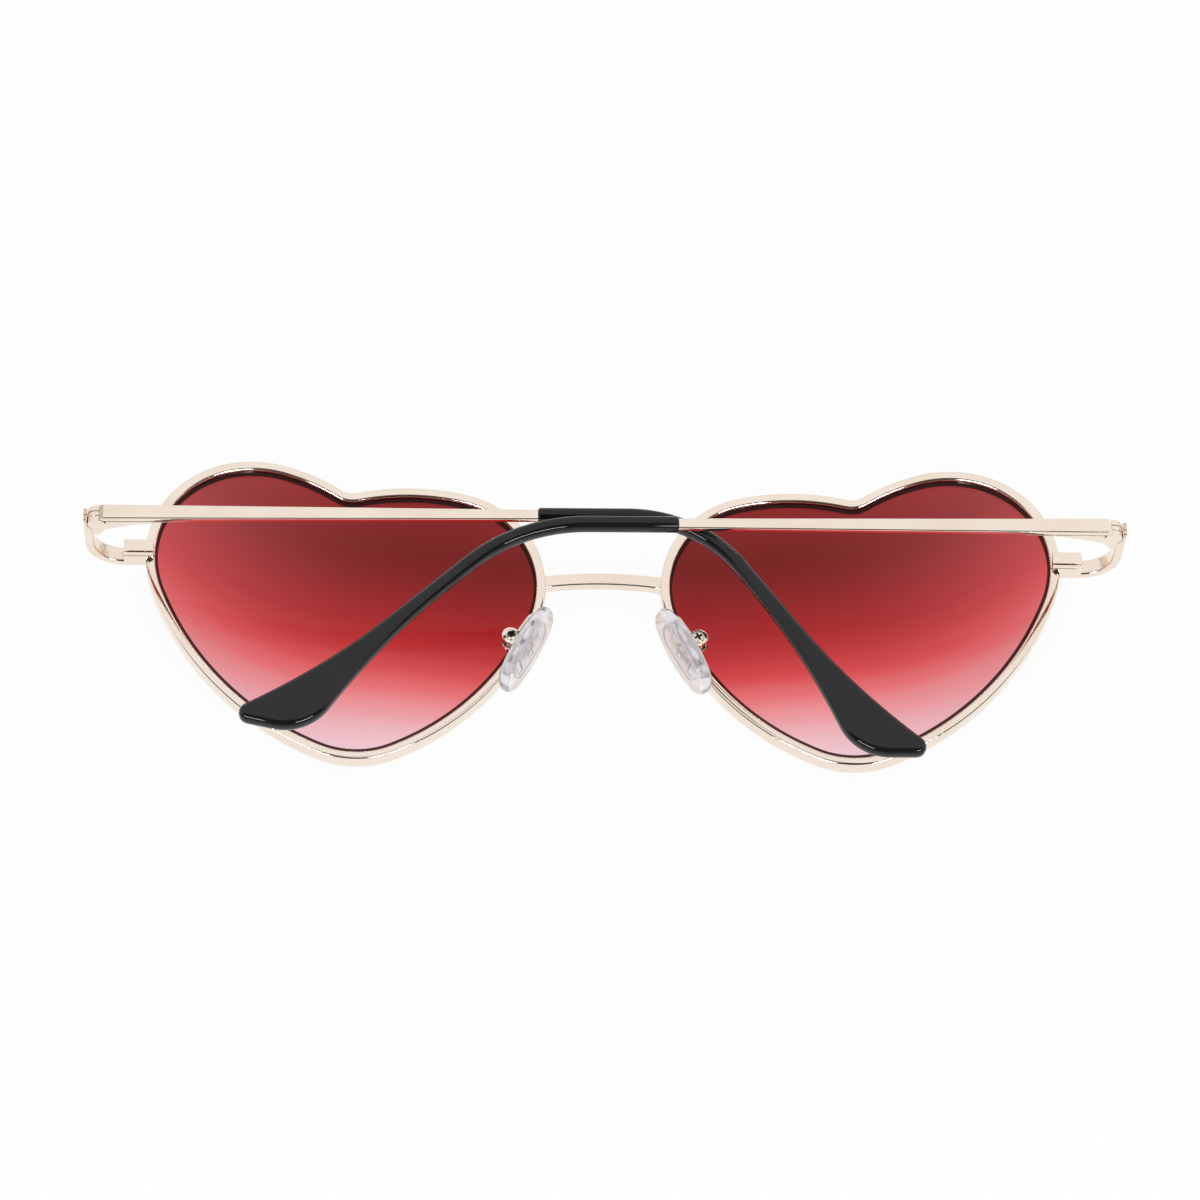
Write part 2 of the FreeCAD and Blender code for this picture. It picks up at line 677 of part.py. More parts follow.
def build_temple_hinge(side):
    low = "-knuckle_height / 2"
    leaf = block(f"temple_leaf_{side}_blank", ("knuckle_room", "-strip_height / 2", "-knuckle_radius"),
                 ("temple_leaf_length", "strip_height / 2", "temple_inner"))
    sweep = rod(f"temple_leaf_{side}_sweep", "leaf_curve_radius", "strip_height + 2 * overrun",
                ("temple_leaf_length", "-strip_height / 2 - overrun", "temple_inner - leaf_curve_radius"), "Y")
    arm = block(f"temple_knuckle_{side}_arm", ("0", low, "-knuckle_radius"),
                ("knuckle_room + knuckle_clearance", "knuckle_height / 2", "temple_inner"))
    barrel = rod(f"temple_knuckle_{side}_barrel", "knuckle_radius", "knuckle_height", ("0", low, "0"), "Y")
    hole = rod(f"temple_knuckle_{side}_hole", "knuckle_hole_radius", "knuckle_height + 2 * overrun",
               ("0", f"{low} - overrun", "0"), "Y")
    body = fuse(f"temple_hinge_{side}_body", cut(f"temple_leaf_{side}", leaf, sweep), arm, barrel)
    return cut(f"temple_hinge_{side}", body, hole)


for side in ("left", "right"):
    strip = build_strip(side)
    keep_at_hinge("temple_hinge", side, build_temple_hinge(side))
    keep_at_hinge("temple", side, build_temple(side, strip))
    keep_at_hinge("temple_tip", side, build_tip(side, strip))


# Nose pads, drawn about the screw they rock on: X away from the nose, Y up the pad
def at_pad_axis(item):
    item.Placement.Rotation = FreeCAD.Rotation(Vector(0, 0, 1), value("pad_angle"))
    bind(item, {"Placement.Rotation.Angle": "pad_angle"})
    return settle(item, "pad_axis_x", "pad_axis_y", "pad_setback")


def upright(sketch, x):
    # Stands a sketch up facing along X, with its own X along the pad
    sketch.Placement.Rotation = FreeCAD.Rotation(Vector(0, 1, 0), Vector(0, 0, 1), Vector(1, 0, 0), "XYZ")
    return settle(sketch, x)


def splayed(item):
    # Sets a piece drawn about the middle of the pad at its standoff, turned towards the wearer
    turn = "rotation(vector(0; 1; 0); pad_splay)"
    return bind(item, {"Placement": f"placement(vector(-pad_standoff; 0; 0); {turn})"})


def build_pad_insert():
    run, back = "(insert_length - insert_width) / 2", "-insert_thickness / 2"
    bar = block("pad_insert_bar", (back, f"-{run} - pad_shift", "-insert_width / 2"),
                (f"{back} + insert_thickness", f"{run} - pad_shift", "insert_width / 2"))
    ends = [rod(f"pad_insert_{end}", "insert_width / 2", "insert_thickness",
                (back, f"{side} * {run} - pad_shift", "0"), "X") for end, side in (("top", 1), ("bottom", -1))]
    plate = fuse("pad_insert_plate", bar, *ends)
    slots = []
    for number, step in enumerate((-1, 0, 1)):
        middle = f"{step} * insert_length / 3 - pad_shift"
        slots.append(block(f"pad_insert_slot_{number}",
                           ("-insert_thickness", f"{middle} - insert_slot_width / 2",
                            "-insert_slot_length / 2"),
                           ("insert_thickness", f"{middle} + insert_slot_width / 2",
                            "insert_slot_length / 2")))
    slotted = splayed(cut("pad_insert_slotted", plate, *slots))
    stem = block("pad_insert_stem", ("-pad_standoff", "-stem_radius", "-stem_height / 2"),
                 ("0", "stem_radius", "stem_height / 2"))
    eye = rod("pad_insert_eye", "stem_radius", "stem_height", ("0", "0", "-stem_height / 2"))
    hole = rod("pad_insert_hole", "pad_screw_radius + pad_screw_play", "stem_height + 2 * overrun",
               ("0", "0", "-stem_height / 2 - overrun"))
    body = fuse("pad_insert_body", slotted, stem, eye)
    return cut("nose_pad_insert_right", body, hole), body


def build_nose_pad(insert_body):
    lobes = [("pad_length / 2 - pad_top_radius - pad_shift", "0", "pad_top_radius", 1),
             ("pad_bottom_radius - pad_length / 2 - pad_shift", "0", "pad_bottom_radius", 1)]
    sketch = upright(ring_of_arcs("nose_pad_outline", lobes, ["pad_side_radius", "pad_side_radius"]),
                     "-pad_thickness / 2")
    blank = extruded("nose_pad_blank", sketch, "pad_thickness", Vector(1, 0, 0))
    soft = rounded("nose_pad_soft", blank, "pad_edge_radius",
                   lambda edge: not runs_along(edge, Vector(1, 0, 0)))
    return cut("nose_pad_right", splayed(soft), insert_body)


def build_pad_box():
    half = "box_height / 2"
    body = block("pad_box_body", ("-box_reach", "-box_width / 2", f"-{half}"),
                 ("box_back", "box_width / 2", half))
    soft = rounded("pad_box_soft", body, "box_corner_radius",
                   lambda edge: runs_along(edge, Vector(0, 0, 1)) and edge.CenterOfMass.x > 0)
    room = "stem_height / 2 + stem_play"
    slot = block("pad_box_slot", ("-box_reach - overrun", "-box_width", f"-({room})"),
                 ("stem_radius + stem_play", "box_width", room))
    hole = rod("pad_box_hole", "pad_screw_radius", "box_height + 2 * overrun", ("0", "0", f"-{half} - overrun"))
    return cut("pad_box_right", soft, slot, hole), soft


def build_pad_screw():
    shank = rod("pad_screw_shank", "pad_screw_radius", "box_height", ("0", "0", "-box_height / 2"))
    head = rod("pad_screw_head", "pad_screw_head_radius", "pad_screw_head_height", ("0", "0", "box_height / 2"))
    top, half = "box_height / 2 + pad_screw_head_height", "screw_slot_width / 2"
    reach = "pad_screw_head_radius - screw_slot_width"
    cross = [block("pad_screw_cross_x", (f"-({reach})", f"-{half}", f"{top} - screw_slot_depth"),
                   (reach, half, f"{top} + overrun")),
             block("pad_screw_cross_y", (f"-{half}", f"-({reach})", f"{top} - screw_slot_depth"),
                   (half, reach, f"{top} + overrun"))]
    return cut("pad_screw_right", fuse("pad_screw_body", shank, head), *cross)


def build_pad_arm(box_body):
    bend_y, bend_z = "arm_reach - arm_bend_radius", "arm_level - arm_bend_radius"
    riser = rod("pad_arm_riser", "arm_radius", f"{bend_z} - arm_foot_z", ("0", "arm_reach", "arm_foot_z"))
    elbow = doc.addObject("Part::Torus", "pad_arm_elbow")
    elbow.Placement.Rotation = FreeCAD.Rotation(Vector(0, 1, 0), Vector(0, 0, 1), Vector(1, 0, 0), "XYZ")
    elbow.Angle3 = 90
    bind(elbow, {"Radius1": "arm_bend_radius", "Radius2": "arm_radius"})
    settle(elbow, "0", bend_y, bend_z)
    run = rod("pad_arm_run", "arm_radius", bend_y, ("0", "0", "arm_level"), "Y")
    body = fuse("pad_arm_body", riser, elbow, run)
    body.Placement.Rotation = FreeCAD.Rotation(Vector(0, 0, 1), value("arm_angle - pad_angle"))
    bind(body, {"Placement.Rotation.Angle": "arm_angle - pad_angle"})
    settle(body, z="-pad_setback")
    return cut("pad_arm_right", at_pad_axis(cut("pad_arm_trimmed", body, box_body)), rim)


insert, insert_body = build_pad_insert()
keep_pair("nose_pad_insert", at_pad_axis(insert))
keep_pair("nose_pad", at_pad_axis(build_nose_pad(insert_body)))
box, box_body = build_pad_box()
keep_pair("pad_box", at_pad_axis(box))
keep_pair("pad_screw", at_pad_axis(build_pad_screw()))
keep_pair("pad_arm", build_pad_arm(box_body))


# Every object has to be sound before anything is written
doc.recompute()
for item in doc.Objects:
    if {"Invalid", "Error"} & set(item.State):
        raise RuntimeError(f"{item.Name} failed: {item.State}")
for name, item in nodes.items():
    if item.Shape.isNull() or not item.Shape.isValid() or len(item.Shape.Solids) != 1:
        raise RuntimeError(f"{name} is not one sound solid")

os.makedirs("parts", exist_ok=True)
for name, item in nodes.items():
    item.Shape.exportStep(f"parts/{name}.step")
    print(f"{name}: {item.Shape.Volume:.2f} mm3")
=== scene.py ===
import bmesh
import bpy
import math
from mathutils import Matrix, Vector


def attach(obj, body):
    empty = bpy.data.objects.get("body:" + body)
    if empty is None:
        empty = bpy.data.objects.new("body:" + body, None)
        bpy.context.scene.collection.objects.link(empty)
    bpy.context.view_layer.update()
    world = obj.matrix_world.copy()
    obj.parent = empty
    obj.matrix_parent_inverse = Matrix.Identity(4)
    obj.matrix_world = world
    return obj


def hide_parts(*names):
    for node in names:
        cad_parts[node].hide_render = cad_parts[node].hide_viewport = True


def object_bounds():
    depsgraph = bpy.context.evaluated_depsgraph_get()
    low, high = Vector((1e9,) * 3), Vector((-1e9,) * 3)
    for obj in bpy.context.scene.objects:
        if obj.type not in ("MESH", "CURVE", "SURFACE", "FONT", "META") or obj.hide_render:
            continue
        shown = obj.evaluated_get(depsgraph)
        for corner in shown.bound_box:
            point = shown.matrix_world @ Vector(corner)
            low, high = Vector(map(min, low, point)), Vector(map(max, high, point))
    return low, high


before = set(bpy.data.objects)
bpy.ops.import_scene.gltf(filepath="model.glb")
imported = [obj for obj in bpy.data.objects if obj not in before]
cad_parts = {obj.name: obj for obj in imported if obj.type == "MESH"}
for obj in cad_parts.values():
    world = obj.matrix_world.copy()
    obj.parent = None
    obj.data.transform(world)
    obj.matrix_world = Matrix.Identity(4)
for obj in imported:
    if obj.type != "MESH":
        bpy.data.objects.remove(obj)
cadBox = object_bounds()
scene = bpy.context.scene
mm = 0.001  # sizes below are in millimetres, unless a note says metres
weld = 0.0005 * mm  # points nearer than this become one
past = 4.0  # how far a cutting tool reaches beyond what it cuts
print("frame loaded:", len(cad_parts), "nodes")


# Selecting and tidying

def clearSelection():
    if bpy.context.object and bpy.context.object.mode != "OBJECT":
        bpy.ops.object.mode_set(mode="OBJECT")
    bpy.ops.object.select_all(action="DESELECT")


def pick(obj):
    clearSelection()
    obj.select_set(True)
    bpy.context.view_layer.objects.active = obj


def tidyMesh(obj, angle=32):
    pick(obj)
    bpy.ops.object.transform_apply(location=True, rotation=True, scale=True)
    bpy.ops.object.mode_set(mode="EDIT")
    bpy.ops.mesh.select_all(action="SELECT")
    bpy.ops.mesh.remove_doubles(threshold=weld)
    bpy.ops.mesh.normals_make_consistent(inside=False)
    bpy.ops.object.mode_set(mode="OBJECT")
    bpy.ops.object.shade_smooth_by_angle(angle=math.radians(angle))
    return obj


def flip(obj):
    # turns a piece into its mirror image
    pick(obj)
    obj.scale.x = -1
    bpy.ops.object.transform_apply(location=True, rotation=True, scale=True)
    bpy.ops.object.mode_set(mode="EDIT")
    bpy.ops.mesh.select_all(action="SELECT")
    bpy.ops.mesh.normals_make_consistent(inside=False)
    bpy.ops.object.mode_set(mode="OBJECT")
    return obj


def mirrorPiece(obj, name):
    pick(obj)
    bpy.ops.object.duplicate()
    twin = bpy.context.object
    twin.name = twin.data.name = name
    return flip(twin)


def shift(x, y, z):
    return Matrix.Translation(Vector((x, y, z)) * mm)


def placePiece(obj, matrix):
    obj.data.transform(matrix)
    return obj


def useModifier(obj, kind, **settings):
    pick(obj)
    step = obj.modifiers.new(kind.title(), kind)
    for key, setting in settings.items():
        setattr(step, key, setting)
    bpy.ops.object.modifier_apply(modifier=step.name)


def combine(obj, tool, operation="DIFFERENCE"):
    useModifier(obj, "BOOLEAN", operation=operation, object=tool, solver="EXACT")
    bpy.data.objects.remove(tool, do_unlink=True)
    return obj


def softenEdges(obj, width, segments=3, angle=40, clamp=True):
    useModifier(obj, "BEVEL", width=width * mm, segments=segments, limit_method="ANGLE",
                angle_limit=math.radians(angle), use_clamp_overlap=clamp, harden_normals=False)
    return obj


# Starting shapes

def addBlock(name, low, high):
    clearSelection()
    middle = [(a + b) / 2 * mm for a, b in zip(low, high)]
    bpy.ops.mesh.primitive_cube_add(size=1, location=middle)
    block = bpy.context.object
    block.name = block.data.name = name
    block.scale = [(b - a) * mm for a, b in zip(low, high)]
    bpy.ops.object.transform_apply(location=True, rotation=True, scale=True)
    return block


def addRod(name, radius, low, high, along="Z", sides=48):
    # a round bar between two points that lie along one axis
    clearSelection()
    middle = [(a + b) / 2 * mm for a, b in zip(low, high)]
    turn = {"Y": (math.pi / 2, 0, 0), "Z": (0, 0, 0)}[along]
    length = (Vector(high) - Vector(low)).length
    bpy.ops.mesh.primitive_cylinder_add(vertices=sides, radius=radius * mm, depth=length * mm,
                                        location=middle, rotation=turn)
    bar = bpy.context.object
    bar.name = bar.data.name = name
    bpy.ops.object.transform_apply(location=True, rotation=True, scale=True)
    return bar


def loftChains(name, chains, ring=True):
    # one line of points, extruded from station to station; ring joins each line's ends
    count = len(chains[0])
    edges = [(k, k + 1) for k in range(count - 1)] + ([(count - 1, 0)] if ring else [])
    mesh = bpy.data.meshes.new(name)
    mesh.from_pydata([Vector(p) * mm for p in chains[0]], edges, [])
    for layerName in ("order", "station"):
        layer = mesh.attributes.new(layerName, "INT", "POINT")
        for k, item in enumerate(layer.data):
            item.value = k if layerName == "order" else 0
    piece = bpy.data.objects.new(name, mesh)
    scene.collection.objects.link(piece)
    pick(piece)
    bpy.ops.object.mode_set(mode="EDIT")
    bpy.ops.mesh.select_all(action="SELECT")
    for number, chain in enumerate(chains[1:], 1):
        bpy.ops.mesh.extrude_edges_move()
        grid = bmesh.from_edit_mesh(mesh)
        order, station = (grid.verts.layers.int[n] for n in ("order", "station"))
        for vert in grid.verts:
            if vert.select:
                vert.co = Vector(chain[vert[order]]) * mm
                vert[station] = number
        bmesh.update_edit_mesh(mesh)
    bpy.ops.mesh.select_all(action="SELECT")
    bpy.ops.mesh.remove_doubles(threshold=weld)
    bpy.ops.mesh.fill_holes(sides=0)
    bpy.ops.object.mode_set(mode="OBJECT")
    mesh.attributes.remove(mesh.attributes["order"])
    return piece


def finishLoft(piece, angle=32):
    piece.data.attributes.remove(piece.data.attributes["station"])
    return tidyMesh(piece, angle)


def addPrism(name, outline, low, high):
    # an outline in X and Z, drawn out along Y
    return finishLoft(loftChains(name, [[(x, y, z) for x, z in outline] for y in (low, high)]))


def addOutline(name, loops, thick, edge, rounds):
    # a plate in X and Y with round edges; the first loop is its outline, the others are holes
    flat = bpy.data.curves.new(name, "CURVE")
    flat.dimensions, flat.fill_mode = "2D", "BOTH"
    flat.extrude = (thick / 2 - edge) * mm
    flat.bevel_depth, flat.bevel_resolution, flat.offset = edge * mm, rounds, -edge * mm
    for loop in loops:
        line = flat.splines.new("POLY")
        line.points.add(len(loop) - 1)
        for spot, (x, y) in zip(line.points, loop):
            spot.co = (x * mm, y * mm, 0, 1)
        line.use_cyclic_u = True
    piece = bpy.data.objects.new(name, flat)
    scene.collection.objects.link(piece)
    pick(piece)
    bpy.ops.object.convert(target="MESH")
    return bpy.context.object


def roundedSection(width, height, radius, steps=4):
    # corners of a rounded rectangle, counter-clockwise, as (across, up)
    points = []
    for turn, (sx, sy) in enumerate(((1, 1), (-1, 1), (-1, -1), (1, -1))):
        for k in range(steps + 1):
            angle = math.pi / 2 * (turn + k / steps)
            points.append((sx * (width / 2 - radius) + radius * math.cos(angle),
                           sy * (height / 2 - radius) + radius * math.sin(angle)))
    return points


def arcRing(lobes, spans, step):
    # arcs of a closed outline: lobes (x, y, radius, bulge) joined by wide tangent spans
    centres = [Vector((x, y)) for x, y, _, _ in lobes]
    joints = []
    for k, span in enumerate(spans):
        n = (k + 1) % len(lobes)
        reach = [span - lobes[i][3] * lobes[i][2] for i in (k, n)]
        gap = centres[n] - centres[k]
        along = (reach[0] ** 2 - reach[1] ** 2 + gap.length_squared) / (2 * gap.length)
        side = math.sqrt(reach[0] ** 2 - along ** 2)
        way = gap.normalized()
        middle = centres[k] + way * along + Vector((-way.y, way.x)) * side
        joints.append((middle, [middle + (centres[i] - middle).normalized() * span for i in (k, n)]))
    arcs = []
    for k, (_, _, radius, bulge) in enumerate(lobes):
        middle, touch = joints[k]
        for centre, size, first, last, turn in ((centres[k], radius, joints[k - 1][1][1], touch[0], bulge),
                                                (middle, spans[k], touch[0], touch[1], 1)):
            a, b = (math.atan2(*reversed(p - centre)) for p in (first, last))
            sweep = (b - a) % (2 * math.pi) if turn > 0 else -((a - b) % (2 * math.pi))
            count = max(5, round(abs(sweep) * size / step))
            arcs.append((centre, size, a, sweep, turn, count))
    return arcs


def ringPoints(arcs, grow):
    # the outline, moved outwards by grow
    return [(centre.x + (size + turn * grow) * math.cos(a + sweep * k / count),
             centre.y + (size + turn * grow) * math.sin(a + sweep * k / count))
            for centre, size, a, sweep, turn, count in arcs for k in range(count)]


def dress(obj, material, body, slotName, *nodes):
    obj.data.materials.clear()
    obj.data.materials.append(material)
    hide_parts(*nodes)
    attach(obj, body)


def dressPair(piece, node, material, slotName, body=None):
    # the piece is the right one, and its mirror image is the left one
    twin = mirrorPiece(piece, piece.name.replace("Right", "Left"))
    for obj, side in ((twin, "left"), (piece, "right")):
        dress(obj, material, f"{body}_{side}" if body else "front", slotName, f"{node}_{side}")


# Shader nodes

def newMaterial(name):
    material = bpy.data.materials.new(name)
    material.use_nodes = True
    tree = material.node_tree
    tree.nodes.clear()
    shader = tree.nodes.new("ShaderNodeBsdfPrincipled")
    output = tree.nodes.new("ShaderNodeOutputMaterial")
    tree.links.new(shader.outputs["BSDF"], output.inputs["Surface"])
    return material, tree, shader


def setSockets(node, **values):
    for key, setting in values.items():
        node.inputs[key.replace("_", " ")].default_value = setting


def calc(tree, operation, *inputs, kind="ShaderNodeMath"):
    # a maths node; each input is another node's output or a plain value
    node = tree.nodes.new(kind)
    node.operation = operation
    for socket, item in zip(node.inputs, inputs):
        if isinstance(item, bpy.types.NodeSocket):
            tree.links.new(item, socket)
        else:
            socket.default_value = item
    return node.outputs


def spread(tree, source, low=0.0, high=1.0, start=0.35, end=0.65):
    # stretches a mask from start..end to low..high
    remap = tree.nodes.new("ShaderNodeMapRange")
    setSockets(remap, From_Min=start, From_Max=end, To_Min=low, To_Max=high)
    tree.links.new(source, remap.inputs["Value"])
    return remap.outputs["Result"]


def mixColours(tree, mask, first, second):
    # from the first colour to the second; the first may be another node's output
    mix = tree.nodes.new("ShaderNodeMix")
    mix.data_type = "RGBA"
    if isinstance(first, bpy.types.NodeSocket):
        tree.links.new(first, mix.inputs["A"])
    else:
        mix.inputs["A"].default_value = (*first, 1)
    mix.inputs["B"].default_value = (*second, 1)
    tree.links.new(mask, mix.inputs["Factor"])
    return mix.outputs["Result"]


def addRamp(tree, source, stops):
    ramp = tree.nodes.new("ShaderNodeValToRGB")
    elements = ramp.color_ramp.elements
    while len(elements) < len(stops):
        elements.new(0.5)
    for element, (position, colour) in zip(elements, stops):
        element.position = position
        element.color = (*colour, 1)
    tree.links.new(source, ramp.inputs["Fac"])
    return ramp


def readMask(tree, name):
    mask = tree.nodes.new("ShaderNodeAttribute")
    mask.attribute_name = name
    return mask.outputs["Fac"]


def bumpFrom(tree, height, strength, distance):
    bump = tree.nodes.new("ShaderNodeBump")
    setSockets(bump, Strength=strength, Distance=distance * mm)
    tree.links.new(height, bump.inputs["Height"])
    return bump.outputs["Normal"]


marksLook = {"smudge": {"Detail": 4.0, "Roughness": 0.55}, "lines": {"Detail": 2.0, "Roughness": 0.6},
             "stretch": {"Scale": (0.12, 1.0, 1.0), "Rotation": (0.0, 0.0, 0.35)}}


def makeHandlingMarks():
    # smudges and fine rubbed lines, shared by the metal, lenses, tips and pads
    group = bpy.data.node_groups.new("handlingMarks", "ShaderNodeTree")
    for way, names in (("INPUT", ("Smudge Scale", "Line Scale")), ("OUTPUT", ("Smudge", "Lines"))):
        for socket in names:
            group.interface.new_socket(socket, in_out=way, socket_type="NodeSocketFloat")
    source, sink = group.nodes.new("NodeGroupInput"), group.nodes.new("NodeGroupOutput")
    place = group.nodes.new("ShaderNodeTexCoord")
    smudge = group.nodes.new("ShaderNodeTexNoise")
    setSockets(smudge, **marksLook["smudge"])
    group.links.new(place.outputs["Object"], smudge.inputs["Vector"])
    group.links.new(source.outputs["Smudge Scale"], smudge.inputs["Scale"])
    stretch = group.nodes.new("ShaderNodeMapping")
    setSockets(stretch, **marksLook["stretch"])
    group.links.new(place.outputs["Object"], stretch.inputs["Vector"])
    line = group.nodes.new("ShaderNodeTexNoise")
    setSockets(line, **marksLook["lines"])
    group.links.new(stretch.outputs["Vector"], line.inputs["Vector"])
    group.links.new(source.outputs["Line Scale"], line.inputs["Scale"])
    group.links.new(smudge.outputs["Fac"], sink.inputs["Smudge"])
    group.links.new(line.outputs["Fac"], sink.inputs["Lines"])
    return group


handlingMarks = makeHandlingMarks()


def addMarks(tree, look):
    marks = tree.nodes.new("ShaderNodeGroup")
    marks.node_tree = handlingMarks
    setSockets(marks, Smudge_Scale=look["smudges"], Line_Scale=look["lines"])
    return marks.outputs


# Materials: two tones, the scales of the marks, and the marks that give roughness and bump with their amounts

metalLook = {"tones": ((0.89, 0.775, 0.675), (0.85, 0.725, 0.61)), "smudges": 140.0, "lines": 1500.0,
             "rough": ("Lines", 0.06, 0.13), "bump": ("Lines", 0.01, 0.05), "plain": {"Metallic": 1.0}}
screwLook = {"tones": ((0.82, 0.74, 0.66), (0.72, 0.63, 0.54)), "smudges": 400.0, "lines": 1500.0,
             "rough": ("Lines", 0.1, 0.2), "bump": ("Lines", 0.01, 0.05), "plain": {"Metallic": 1.0},
             # recess: a dark colour painted as shade in the screw's recess
             "recess": (0.035, 0.03, 0.026)}
tipLook = {"tones": ((0.009, 0.0085, 0.009), (0.012, 0.0114, 0.012)), "smudges": 180.0, "lines": 700.0,
           "rough": ("Smudge", 0.04, 0.075), "bump": ("Lines", 0.02, 0.05),
           "plain": {"Specular_IOR_Level": 0.31}}
padLook = {"tones": ((0.985, 0.975, 0.99), (0.965, 0.95, 0.975)), "smudges": 260.0, "lines": 500.0,
           "rough": ("Smudge", 0.02, 0.06), "bump": ("Smudge", 0.08, 0.2),
           "plain": {"Transmission_Weight": 0.78, "IOR": 1.26}}
insertLook = {"tones": ((0.96, 0.935, 0.95), (0.9, 0.865, 0.89)), "smudges": 260.0, "lines": 500.0,
              "rough": ("Smudge", 0.02, 0.05), "bump": ("Smudge", 0.08, 0.2),
              "plain": {"Transmission_Weight": 0.93, "IOR": 1.32}}
lensLook = {
    # height on the lens in mm and the tint seen there against white; the last stop, paler again at the top,
    # is painted reflection
    "fade": ((-22.4, (0.88, 0.62, 0.68)), (-16.0, (0.85, 0.42, 0.455)), (-11.5, (0.81, 0.225, 0.24)),
             (-8.0, (0.72, 0.105, 0.112)), (-4.5, (0.56, 0.047, 0.051)), (-0.7, (0.415, 0.024, 0.026)),
             (3.0, (0.33, 0.017, 0.019)), (7.5, (0.235, 0.0145, 0.015)), (13.0, (0.19, 0.014, 0.0132)),
             (22.4, (0.29, 0.021, 0.025))),
    # the fade climbs towards the temple and sinks a little at the nose, as painted sheen towards the temple
    # and painted shade at the nose: from X, to X, power, by
    "climb": (22.0, 62.0, 3.0, -12.5), "sink": (32.0, 14.0, 1.5, 2.5),
    # painted sheen, standing in for reflection: a paler tint that grows towards the temple: from X, to X,
    # power, its share there and its tint
    "paintedSheen": (22.0, 61.0, 2.1, 0.52, (0.62, 0.112, 0.122)),
    # edge: the colour of the painted groove shade beside the rim
    "edge": (0.003, 0.001, 0.001), "smudges": 90.0, "lines": 400.0, "rough": (0.015, 0.05),
    "plain": {"Transmission_Weight": 1.0, "IOR": 1.2},
}


def makeSurface(name, look):
    material, tree, shader = newMaterial(name)
    setSockets(shader, **look["plain"])
    marks = addMarks(tree, look)
    colour = mixColours(tree, spread(tree, marks["Smudge"]), *look["tones"])
    # painted shade in the screw's recess
    if "recess" in look:
        colour = mixColours(tree, readMask(tree, "recessShade"), colour, look["recess"])
    tree.links.new(colour, shader.inputs["Base Color"])
    mark, *amounts = look["rough"]
    tree.links.new(spread(tree, marks[mark], *amounts), shader.inputs["Roughness"])
    mark, *amounts = look["bump"]
    tree.links.new(bumpFrom(tree, marks[mark], *amounts), shader.inputs["Normal"])
    return material


def makeLensTint():
    material, tree, shader = newMaterial("lensTint")
    setSockets(shader, **lensLook["plain"])
    place = tree.nodes.new("ShaderNodeTexCoord")
    split = tree.nodes.new("ShaderNodeSeparateXYZ")
    tree.links.new(place.outputs["Object"], split.inputs["Vector"])
    across = calc(tree, "ABSOLUTE", split.outputs["X"])["Value"]
    level = split.outputs["Y"]
    # painted light: the fade is paler towards the temple and darker at the nose
    for start, end, power, by in (lensLook["climb"], lensLook["sink"]):
        share = calc(tree, "POWER", spread(tree, across, start=start * mm, end=end * mm), power)["Value"]
        level = calc(tree, "MULTIPLY_ADD", share, by * mm, level)["Value"]
    low, high = (lensLook["fade"][k][0] for k in (0, -1))
    stops = [((height - low) / (high - low), colour) for height, colour in lensLook["fade"]]
    fade = addRamp(tree, spread(tree, level, start=low * mm, end=high * mm), stops)
    fade.color_ramp.interpolation = "CARDINAL"
    # painted sheen: the tint grows paler towards the temple
    start, end, power, most, paintedSheen = lensLook["paintedSheen"]
    share = calc(tree, "POWER", spread(tree, across, start=start * mm, end=end * mm), power)["Value"]
    colour = mixColours(tree, calc(tree, "MULTIPLY", share, most)["Value"], fade.outputs["Color"], paintedSheen)
    # painted shade of the groove beside the rim
    colour = mixColours(tree, readMask(tree, "paintedGrooveShade"), colour, lensLook["edge"])
    tree.links.new(colour, shader.inputs["Base Color"])
    marks = addMarks(tree, lensLook)
    tree.links.new(spread(tree, marks["Smudge"], *lensLook["rough"]), shader.inputs["Roughness"])
    return material


plating = makeSurface("champagnePlating", metalLook)
screwSteel = makeSurface("screwSteel", screwLook)
tipBlack = makeSurface("tipBlack", tipLook)
lensTint = makeLensTint()
padSilicone = makeSurface("padSilicone", padLook)
insertClear = makeSurface("insertClear", insertLook)
print("materials made")


# Lenses and rims

heart = {
    "width": 54.0, "height": 44.8, "gap": 18.0, "step": 0.55,
    "temporal": 15.2, "nasal": 14.2, "nasalDrop": 3.1, "tip": 11.9, "tipOffset": 1.3,
    "cleft": 3.8, "cleftDepth": 3.6, "cleftOffset": 0.5,
    "spans": (42.4, 24.4, 30.4, 40.4),  # temporal flank, temporal brow, nasal brow, nasal flank
    "dome": 120.0, "domeX": 27.63,
}
# shade: the lines of the painted groove shade on the back face; brow and foot widen it above and below
lens = {"thickness": 1.6, "seat": -0.3, "shade": (-0.4, -0.68, -0.75), "brow": 0.24, "foot": 0.42,
        "middleY": -1.0, "shares": (0.94, 0.84, 0.7, 0.55, 0.4, 0.25, 0.12, 0.04)}
rim = {"inner": -0.4, "outer": 0.94, "front": 0.3, "back": -2.3, "edge": 0.36, "slit": (-1.67, -2.22)}
lensX = (heart["gap"] + heart["width"]) / 2


def heartArcs():
    right, top = lensX + heart["width"] / 2, heart["height"] / 2
    nasalX, nasalY = heart["gap"] / 2 + heart["nasal"], top - heart["nasalDrop"] - heart["nasal"]
    lobes = [
        (lensX - heart["tipOffset"], heart["tip"] - top, heart["tip"], 1),
        (right - heart["temporal"], top - heart["temporal"], heart["temporal"], 1),
        (lensX - heart["cleftOffset"], top - heart["cleftDepth"] + heart["cleft"], heart["cleft"], -1),
        (nasalX, nasalY, heart["nasal"], 1),
    ]
    return arcRing(lobes, heart["spans"], heart["step"])


def onDome(point, lift=0.0):
    # lifts a point of the outline onto the dome; a positive lift is towards the front
    x, y = point
    radius = heart["dome"] + lift
    return (x, y, heart["dome"] - math.sqrt(radius ** 2 - (x - heart["domeX"]) ** 2 - y ** 2))


